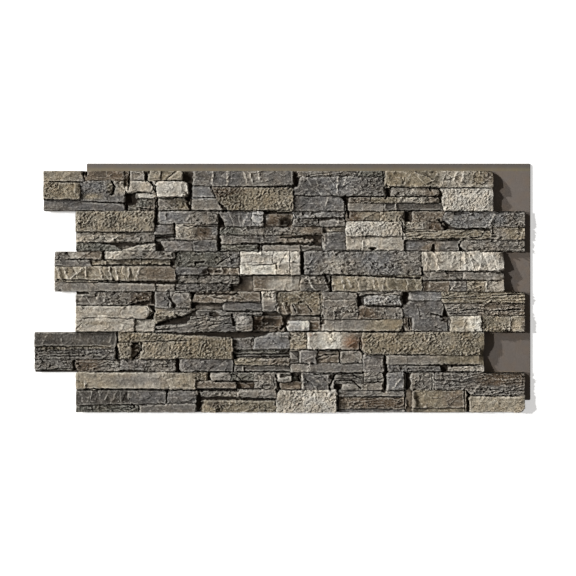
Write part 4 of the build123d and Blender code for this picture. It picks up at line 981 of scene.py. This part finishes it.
def course_face(relief, row):
    """The front of one course as an open sheet of grid cells."""
    first = int(np.argmin(np.abs(relief.xs + REACHES[row])))
    last = int(np.argmin(np.abs(relief.xs - (COURSE_LENGTH - REACHES[row]))))
    low = int(np.argmin(np.abs(relief.ys - course_foot(row))))
    high = int(np.argmin(np.abs(relief.ys - course_foot(row) - COURSE_HEIGHT)))
    bm = bmesh.new()
    bmesh.ops.create_grid(bm, x_segments=last - first, y_segments=high - low, size=1)
    mesh = bpy.data.meshes.new(COURSE_NAMES[row])
    bm.to_mesh(mesh)
    bm.free()
    co = read_array(mesh.vertices, "co", 3)
    i = first + np.rint((co[:, 0] + 1) / 2 * (last - first)).astype(int)
    j = low + np.rint((co[:, 1] + 1) / 2 * (high - low)).astype(int)
    co[:, 0] = (relief.xs[i] + DATUM_X) * MM
    co[:, 1] = (relief.ys[j] + DATUM_Y) * MM
    co[:, 2] = relief.z[i, j] * MM
    mesh.vertices.foreach_set("co", co.ravel())
    return mesh


def closed_block(mesh, row):
    """Draw the sheet's edge down to the plate's level and close the back."""
    left = (DATUM_X - REACHES[row]) * MM
    right = left + COURSE_LENGTH * MM
    foot = (DATUM_Y + course_foot(row)) * MM
    head = foot + COURSE_HEIGHT * MM
    bm = bmesh.new()
    bm.from_mesh(mesh)
    ceiling = COURSE_CEILING * MM
    for vertex in bm.verts:
        vertex.co.x = min(max(vertex.co.x, left), right)
        vertex.co.y = min(max(vertex.co.y, foot), head)
        vertex.co.z = min(vertex.co.z, ceiling)
    for corner_x, inward in ((left, 1), (right, -1)):
        for corner_y, upward in ((foot, 1), (head, -1)):
            round_foot = row == COURSES - 1 and corner_x == right and corner_y == foot
            radius = (FOOT_CORNER_ROUND if round_foot else CORNER_ROUND) * MM
            centre = Vector((corner_x + inward * radius, corner_y + upward * radius))
            for vertex in bm.verts:
                away = vertex.co.xy - centre
                if away.x * inward < 0 and away.y * upward < 0 and away.length > radius:
                    vertex.co.xy = centre + away * (radius / away.length)
    part = bm.faces.layers.int.new("part")
    for share in WALL_STEPS:
        edge = [e for e in bm.edges if e.is_boundary]
        drawn = bmesh.ops.extrude_edge_only(bm, edges=edge)["geom"]
        for piece in drawn:
            if isinstance(piece, bmesh.types.BMVert):
                piece.co.z += (PLATE_TOP * MM - piece.co.z) * share
            elif isinstance(piece, bmesh.types.BMFace):
                piece[part] = WALL
    rim = [e for e in bm.edges if e.is_boundary]
    for face in bmesh.ops.contextual_create(bm, geom=rim)["faces"]:
        face[part] = BACK
    bmesh.ops.recalc_face_normals(bm, faces=bm.faces)
    bmesh.ops.triangulate(bm, faces=[f for f in bm.faces if len(f.verts) > 4])
    bm.to_mesh(mesh)
    bm.free()


def unfold(mesh, row):
    """Lay the course out for baking: the front in strips one above another, then its walls and its back."""
    vertex = read_array(mesh.loops, "vertex_index", kind=np.int32)
    sizes = read_array(mesh.polygons, "loop_total", kind=np.int32)
    part = np.repeat(read_array(mesh.attributes["part"].data, "value", kind=np.int32), sizes)

    def shares(points):
        """How far along the course, up it and off the plate each point lies, from 0 to 1."""
        points = points / MM
        along = (points[:, 0] - DATUM_X + REACHES[row]) / COURSE_LENGTH
        up = (points[:, 1] - DATUM_Y - course_foot(row)) / COURSE_HEIGHT
        return along, up, (points[:, 2] - PLATE_TOP) / (PANEL_TOP - PLATE_TOP)

    along, up, high = (value[vertex] for value in shares(read_array(mesh.vertices, "co", 3)))
    middles = shares(read_array(mesh.polygons, "center", 3))
    face_along, face_up, _ = (np.repeat(value, sizes) for value in middles)
    strip = np.clip(np.floor(face_along * FRONT_STRIPS), 0, FRONT_STRIPS - 1)
    half = (face_along > 0.5).astype(float)
    line = 2 * (face_up > 0.5) + half
    to_end = np.minimum(face_along, 1 - face_along) * COURSE_LENGTH
    to_side = np.minimum(face_up, 1 - face_up) * COURSE_HEIGHT
    back = part == BACK
    side = (part == WALL) & (to_end >= to_side)
    end = (part == WALL) & (to_end < to_side)
    width = 1 - 2 * MARGIN
    u = MARGIN + width * (along * FRONT_STRIPS - strip)
    v = STRIP_FOOT + STRIP_PITCH * strip + STRIP_HEIGHT * up
    u[side] = (MARGIN + width * (2 * along - half))[side]
    v[side] = (WALL_FOOT + WALL_PITCH * line + WALL_HEIGHT * high)[side]
    u[end] = (MARGIN + 0.5 * half + END_LENGTH * up)[end]
    v[end] = (END_FOOT + WALL_HEIGHT * high)[end]
    u[back] = (MARGIN + width * along)[back]
    v[back] = (BACK_FOOT + BACK_HEIGHT * up)[back]
    layer = mesh.uv_layers.new(name="OFBake")
    layer.data.foreach_set("uv", np.stack([u, v], axis=1).astype(np.float32).ravel())
    mesh.attributes.remove(mesh.attributes["part"])


def spread_finish(mesh, relief):
    """Give each corner of a course its paint, its grain, and how deep it lies, which sets its painted shade.
    """
    co = read_array(mesh.vertices, "co", 3) / MM
    at = relief.nearest(np.stack([co[:, 0] - DATUM_X, co[:, 1] - DATUM_Y], axis=1))
    back = (co[:, 2] < PLATE_TOP + 0.2).astype(np.float32)
    colours = np.ones((len(co), 4), np.float32)
    colours[:, :3] = relief.paint[at]
    mesh.attributes.new("paint", "FLOAT_COLOR", "POINT").data.foreach_set("color", colours.ravel())
    # Walls below the front count as deeper, so they take more painted shade.
    below = np.clip(relief.z[at] - co[:, 2] - 1.0, 0, None)
    values = {
        "grain": relief.grain[at],
        "hollow": relief.hollow[at],
        "ridge": relief.ridge[at],
        "shade_depth": relief.shade_depth[at] + below,
        "stone": (relief.stone[at] >= 0) * (1 - back),
        "back": back,
    }
    for name, value in values.items():
        mesh.attributes.new(name, "FLOAT", "POINT").data.foreach_set("value", value.astype(np.float32))


class PanelSettings(bpy.types.PropertyGroup):
    """Sizes and colours that a user would change."""

    # Dark base coat left in the hollows, with painted shade.
    wash_and_shade: bpy.props.FloatProperty(
        name="Dark wash", description="How much of the dark base coat stays in the hollows",
        default=0.64, min=0, max=1,
    )
    # Pale paint on the ridges: dry-brushed paint and painted highlight.
    highlight: bpy.props.FloatProperty(
        name="Highlights", description="How much pale paint catches the ridges", default=0.58, min=0, max=1
    )
    base_coat: bpy.props.FloatVectorProperty(
        name="Base coat", description="Colour of the joints and hollows", subtype="COLOR", size=3,
        default=linear(PAINTS["base"]), min=0, max=1,
    )
    plate_colour: bpy.props.FloatVectorProperty(
        name="Plate", description="Colour of the flanges", subtype="COLOR", size=3,
        default=linear(PAINTS["taupe"]), min=0, max=1,
    )
    foam_colour: bpy.props.FloatVectorProperty(
        name="Foam", description="Colour of the unpainted back", subtype="COLOR", size=3,
        default=linear(PAINTS["foam"]), min=0, max=1,
    )
    floor_colour: bpy.props.FloatVectorProperty(
        name="Floor", description="Colour of the floor", subtype="COLOR", size=3,
        default=(0.9, 0.9, 0.9), min=0, max=1,
    )
    view_height: bpy.props.FloatProperty(
        name="View height", description="Height of the camera over the floor", default=3.4, unit="LENGTH"
    )


def new_group(name, inputs, outputs):
    """An empty shader node group with its sockets."""
    group = bpy.data.node_groups.new(name, "ShaderNodeTree")
    for label, kind, default in inputs:
        socket = group.interface.new_socket(label, in_out="INPUT", socket_type=kind)
        socket.default_value = default
    for label, kind in outputs:
        group.interface.new_socket(label, in_out="OUTPUT", socket_type=kind)
    return group, group.nodes.new("NodeGroupInput"), group.nodes.new("NodeGroupOutput")


class Nodes:
    """Short calls for building a node tree."""

    def __init__(self, tree):
        self.tree = tree

    def link(self, source, target):
        """Join two sockets."""
        self.tree.links.new(source, target)

    def put(self, socket, value):
        """Feed a socket from another one or set its value."""
        if isinstance(value, bpy.types.NodeSocket):
            self.link(value, socket)
        else:
            socket.default_value = value

    def attribute(self, name, output="Fac"):
        """A value or colour that the mesh carries."""
        node = self.tree.nodes.new("ShaderNodeAttribute")
        node.attribute_name = name
        return node.outputs[output]

    def math(self, operation, a, b=0.0, clamp=False):
        """One sum."""
        node = self.tree.nodes.new("ShaderNodeMath")
        node.operation = operation
        node.use_clamp = clamp
        self.put(node.inputs[0], a)
        self.put(node.inputs[1], b)
        return node.outputs[0]

    def span(self, value, low, high, to_low=0.0, to_high=1.0):
        """Stretch a span of values onto another, and stop at its ends."""
        node = self.tree.nodes.new("ShaderNodeMapRange")
        self.put(node.inputs["Value"], value)
        node.inputs["From Min"].default_value = low
        node.inputs["From Max"].default_value = high
        self.put(node.inputs["To Min"], to_low)
        self.put(node.inputs["To Max"], to_high)
        return node.outputs["Result"]

    def mix(self, factor, a, b, blend="MIX"):
        """Two colours mixed."""
        node = self.tree.nodes.new("ShaderNodeMix")
        node.data_type = "RGBA"
        node.blend_type = blend
        self.put(node.inputs[0], factor)
        self.put(node.inputs[6], a)
        self.put(node.inputs[7], b)
        return node.outputs[2]

    def noise(self, vector, scale, detail=3.0, rough=0.55, distort=0.0):
        """Noise over the object, scale in features to a metre."""
        node = self.tree.nodes.new("ShaderNodeTexNoise")
        self.put(node.inputs["Vector"], vector)
        node.inputs["Scale"].default_value = scale
        node.inputs["Detail"].default_value = detail
        node.inputs["Roughness"].default_value = rough
        node.inputs["Distortion"].default_value = distort
        return node.outputs["Fac"]


def mottle_group():
    """Sprayed paint that varies in strength and hue, with specks."""
    group, inputs, outputs = new_group(
        "Mottle",
        (("Vector", "NodeSocketVector", (0, 0, 0)), ("Paint", "NodeSocketColor", (0.5, 0.5, 0.5, 1)),
         ("Strength", "NodeSocketFloat", 1.0)),
        (("Colour", "NodeSocketColor"),),
    )
    n = Nodes(group)
    vector = inputs.outputs["Vector"]
    strength = inputs.outputs["Strength"]
    broad = n.span(n.noise(vector, 45, 4, 0.65, 0.6), 0.32, 0.68, 0.76, 1.26)
    fine = n.span(n.noise(vector, 170, 5, 0.75), 0.30, 0.70, 0.66, 1.40)
    both = n.math("MULTIPLY", broad, fine)
    level = n.math("ADD", n.math("MULTIPLY", n.math("SUBTRACT", both, 1.0), strength), 1.0)
    combine = group.nodes.new("ShaderNodeCombineColor")
    for channel in ("Red", "Green", "Blue"):
        n.link(level, combine.inputs[channel])
    varied = n.mix(1.0, inputs.outputs["Paint"], combine.outputs[0], "MULTIPLY")
    warm = n.span(n.noise(vector, 38, 3, 0.5, 0.4), 0.42, 0.66, 0.0, 0.4)
    warmed = n.mix(warm, varied, n.mix(1.0, varied, (1.16, 1.0, 0.80, 1), "MULTIPLY"))
    n.link(warmed, outputs.inputs["Colour"])
    return group


def new_material(name):
    """A material with a Principled shader alone, and its nodes."""
    material = bpy.data.materials.new(name)
    material.use_nodes = True
    tree = material.node_tree
    tree.nodes.clear()
    output = tree.nodes.new("ShaderNodeOutputMaterial")
    shader = tree.nodes.new("ShaderNodeBsdfPrincipled")
    tree.links.new(shader.outputs[0], output.inputs[0])
    return material, Nodes(tree), shader


def matt_paint(name):
    """A matt material, its nodes, its shader and the place on the object."""
    material, n, shader = new_material(name)
    shader.inputs["Specular IOR Level"].default_value = 0.25
    return material, n, shader, n.tree.nodes.new("ShaderNodeTexCoord").outputs["Object"]


def mottled(n, group, vector, paint, strength):
    """Paint with the mottle laid over it."""
    mottle = n.tree.nodes.new("ShaderNodeGroup")
    mottle.node_tree = group
    n.link(vector, mottle.inputs["Vector"])
    n.put(mottle.inputs["Paint"], paint)
    n.put(mottle.inputs["Strength"], strength)
    return mottle.outputs["Colour"]


def bumped(n, shader, height, distance):
    """Fine relief on the shader's normal."""
    bump = n.tree.nodes.new("ShaderNodeBump")
    bump.inputs["Strength"].default_value = 1.0
    bump.inputs["Distance"].default_value = distance
    n.link(height, bump.inputs["Height"])
    n.link(bump.outputs[0], shader.inputs["Normal"])


def stone_material():
    """Matt paint over the moulded stones: dark base coat and painted shade in the hollows and deep recesses,
    pale dry-brushed paint and painted highlight on the ridges.
    """
    settings = bpy.context.scene.panel_settings
    material, n, shader, vector = matt_paint("sprayed_stone_paint")
    hollow = n.attribute("hollow")
    ridge = n.attribute("ridge")
    stone = n.attribute("stone")
    back = n.attribute("back")
    colour = mottled(n, mottle_group(), vector, n.attribute("paint", "Color"), 1.0)
    speckle = n.math("SUBTRACT", n.noise(vector, 190, 4, 0.75), 0.5)
    patches = n.span(n.noise(vector, 30, 3, 0.6), 0.35, 0.65, 0.5, 1.3)
    caught = n.math("ADD", ridge, n.math("MULTIPLY", speckle, 1.1))
    # Pale paint on the ridges: dry-brushed paint and painted highlight.
    drybrush_highlight = n.math("MULTIPLY", n.span(caught, 0.12, 0.75, 0.0, settings.highlight), stone)
    drybrush_highlight = n.math("MULTIPLY", drybrush_highlight, patches)
    colour = n.mix(drybrush_highlight, colour, n.mix(1.0, colour, (0.34, 0.325, 0.29, 1), "ADD"))
    # Dark base coat in the hollows, with painted shade.
    wash_and_shade = n.span(n.math("ADD", hollow, n.math("MULTIPLY", speckle, 2.4)), 0.45, 2.5, 0.0, settings.wash_and_shade)
    # Painted shade in the deep recesses and down the walls.
    deep = n.span(n.attribute("shade_depth"), 3.0, 9.0, 0.0, 0.8)
    colour = n.mix(n.math("MAXIMUM", wash_and_shade, deep), colour, (*settings.base_coat, 1))
    colour = n.mix(back, colour, (*settings.foam_colour, 1))
    n.link(colour, shader.inputs["Base Color"])
    n.link(n.span(n.noise(vector, 90, 2), 0.3, 0.7, 0.72, 0.92), shader.inputs["Roughness"])
    fine = n.math("MULTIPLY", n.noise(vector, 520, 3, 0.6), 0.4)
    texture = n.math("ADD", n.noise(vector, 150, 5, 0.7), fine)
    bumped(n, shader, n.math("MULTIPLY", texture, n.attribute("grain")), 0.006)
    return material


def plate_material():
    """Plain sprayed plate, with the foam's own skin on its back."""
    settings = bpy.context.scene.panel_settings
    material, n, shader, vector = matt_paint("sprayed_plate")
    height = n.tree.nodes.new("ShaderNodeSeparateXYZ")
    n.link(vector, height.inputs[0])
    head = (STACK_HEIGHT + DATUM_Y) * MM
    overspray = n.span(height.outputs["Y"], head + OVERSPRAY[1] * MM, head + OVERSPRAY[0] * MM)
    upper = n.span(height.outputs["Y"], head, head + 1 * MM)
    plain = n.mix(upper, (*settings.plate_colour, 1), (*linear(PAINTS["hem"]), 1))
    paint = n.mix(n.math("MULTIPLY", overspray, upper), plain, (*linear(PAINTS["olive"]), 1))
    colour = mottled(n, mottle_group(), vector, paint, 0.16)
    back = n.span(height.outputs["Z"], 0.0002, 0.0006, 1.0, 0.0)
    n.link(n.mix(back, colour, (*settings.foam_colour, 1)), shader.inputs["Base Color"])
    n.link(n.span(n.noise(vector, 60, 2), 0.3, 0.7, 0.6, 0.8), shader.inputs["Roughness"])
    bumped(n, shader, n.noise(vector, 400, 3, 0.6), 0.0004)
    return material


def camera_emission(name, colour, glow):
    """A pale matt surface that still keeps its shadows, with a little white of its own in view."""
    material, n, shader = new_material(name)
    shader.inputs["Base Color"].default_value = (*colour, 1)
    shader.inputs["Roughness"].default_value = 0.9
    shader.inputs["Emission Color"].default_value = (1, 1, 1, 1)
    path = n.tree.nodes.new("ShaderNodeLightPath")
    seen = n.math("MAXIMUM", path.outputs["Is Camera Ray"], path.outputs["Is Glossy Ray"])
    seen = n.math("MAXIMUM", seen, path.outputs["Is Transmission Ray"])
    n.link(n.math("MULTIPLY", seen, glow), shader.inputs["Emission Strength"])
    return material


def dress(piece, material):
    """Smooth the piece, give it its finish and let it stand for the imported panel."""
    for polygon in piece.data.polygons:
        polygon.use_smooth = True
    piece.data.set_sharp_from_angle(angle=SMOOTH_BELOW)
    piece.data.materials.clear()
    piece.data.materials.append(material)
    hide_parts(NODE)
    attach(piece, "root")


def placed(name, data):
    """A new object in the scene."""
    obj = bpy.data.objects.new(name, data)
    bpy.context.scene.collection.objects.link(obj)
    return obj


class OBJECT_OT_split_courses(bpy.types.Operator):
    """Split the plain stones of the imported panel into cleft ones, course by course, and paint them"""

    bl_idname = "stone_panel.split_courses"
    bl_label = "Split the courses"

    def execute(self, context):
        relief = Relief()
        material = stone_material()
        for row, name in enumerate(COURSE_NAMES):
            mesh = course_face(relief, row)
            piece = placed(name, mesh)
            thin = piece.modifiers.new("thin", "DECIMATE")
            mesh.calc_loop_triangles()
            thin.ratio = min(1.0, COURSE_TRIANGLES / len(mesh.loop_triangles))
            applied(piece, thin)
            piece.data.name = name
            closed_block(piece.data, row)
            unfold(piece.data, row)
            spread_finish(piece.data, relief)
            dress(piece, material)
        return {"FINISHED"}


class OBJECT_OT_mould_plate(bpy.types.Operator):
    """Mould the backing plate with its flanges along the top and the right"""

    bl_idname = "stone_panel.mould_plate"
    bl_label = "Mould the plate"

    def execute(self, context):
        size = (COURSE_LENGTH + RIGHT_FLANGE - LEFT_LAP, STACK_HEIGHT + TOP_FLANGE - BOTTOM_LAP, PLATE_TOP)
        middle = (LEFT_LAP + size[0] / 2 + DATUM_X, BOTTOM_LAP + size[1] / 2 + DATUM_Y, size[2] / 2)
        bm = bmesh.new()
        bmesh.ops.create_cube(bm, size=1)
        bmesh.ops.scale(bm, vec=[s * MM for s in size], verts=bm.verts)
        bmesh.ops.translate(bm, vec=[m * MM for m in middle], verts=bm.verts)
        corners = [e for e in bm.edges if abs(e.verts[0].co.z - e.verts[1].co.z) > 1 * MM]
        bmesh.ops.bevel(
            bm, geom=corners, offset=PLATE_CORNER * MM, affect="EDGES", segments=6, profile=0.5, material=-1
        )
        rim = [e for e in bm.edges if all(v.co.z > (PLATE_TOP - 0.01) * MM for v in e.verts)]
        bmesh.ops.bevel(
            bm, geom=rim, offset=PLATE_WORN_EDGE * MM, affect="EDGES", segments=3, profile=0.5, material=-1
        )
        mesh = bpy.data.meshes.new("backing_plate")
        bm.to_mesh(mesh)
        bm.free()
        dress(placed("backing_plate", mesh), plate_material())
        return {"FINISHED"}


def sun(name, elevation, azimuth, strength, angle):
    """A distant lamp: azimuth is where the light comes from, counted from +X towards +Y, in degrees."""
    lamp = bpy.data.lights.new(name, "SUN")
    lamp.energy = strength
    lamp.angle = math.radians(angle)
    up = math.radians(elevation)
    turn = math.radians(azimuth)
    towards = Vector((math.cos(up) * math.cos(turn), math.cos(up) * math.sin(turn), math.sin(up)))
    placed(name, lamp).rotation_euler = towards.to_track_quat("Z", "Y").to_euler()


class OBJECT_OT_set_stage(bpy.types.Operator):
    """Lay the floor and set the lamps, the world and the camera"""

    bl_idname = "stone_panel.set_stage"
    bl_label = "Set the stage"

    def execute(self, context):
        settings = context.scene.panel_settings
        bm = bmesh.new()
        bmesh.ops.create_grid(bm, x_segments=1, y_segments=1, size=FLOOR_REACH)
        mesh = bpy.data.meshes.new("floor")
        bm.to_mesh(mesh)
        bm.free()
        floor = placed("floor", mesh)
        floor.location.z = -FLOOR_DROP
        mesh.materials.append(camera_emission("pale_floor", settings.floor_colour, FLOOR_GLOW))
        for name, lamp in LAMPS.items():
            sun(name, *lamp)
        world = bpy.data.worlds.new("studio")
        world.use_nodes = True
        background = world.node_tree.nodes["Background"]
        background.inputs["Color"].default_value = SKY_COLOUR
        background.inputs["Strength"].default_value = SKY_STRENGTH
        context.scene.world = world
        context.scene.view_settings.view_transform = "Standard"
        camera = placed("photo_camera", bpy.data.cameras.new("photo_camera"))
        camera.data.sensor_width = SENSOR_WIDTH
        camera.data.sensor_fit = "HORIZONTAL"
        camera.data.lens = SENSOR_WIDTH * (settings.view_height - MEASURED_HEIGHT) / VIEW_WIDTH
        camera.location = (*VIEW_CENTRE, settings.view_height)
        context.scene.camera = camera
        return {"FINISHED"}


class VIEW3D_PT_stone_panel(bpy.types.Panel):
    """The panel's settings and steps"""

    bl_label = "Stone Panel"
    bl_space_type = "VIEW_3D"
    bl_region_type = "UI"
    bl_category = "Stone Panel"

    def draw(self, context):
        for name in PanelSettings.__annotations__:
            self.layout.prop(context.scene.panel_settings, name)
        for operator in OPERATORS:
            self.layout.operator(operator.bl_idname)


OPERATORS = (OBJECT_OT_split_courses, OBJECT_OT_mould_plate, OBJECT_OT_set_stage)
CLASSES = (PanelSettings, *OPERATORS, VIEW3D_PT_stone_panel)


def register():
    """Add the classes and the settings."""
    for cls in CLASSES:
        bpy.utils.register_class(cls)
    bpy.types.Scene.panel_settings = bpy.props.PointerProperty(type=PanelSettings)


def unregister():
    """Take them out again."""
    del bpy.types.Scene.panel_settings
    for cls in reversed(CLASSES):
        bpy.utils.unregister_class(cls)


def main():
    """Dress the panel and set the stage."""
    register()
    bpy.ops.stone_panel.split_courses()
    bpy.ops.stone_panel.mould_plate()
    bpy.ops.stone_panel.set_stage()


if __name__ == "__main__":
    main()
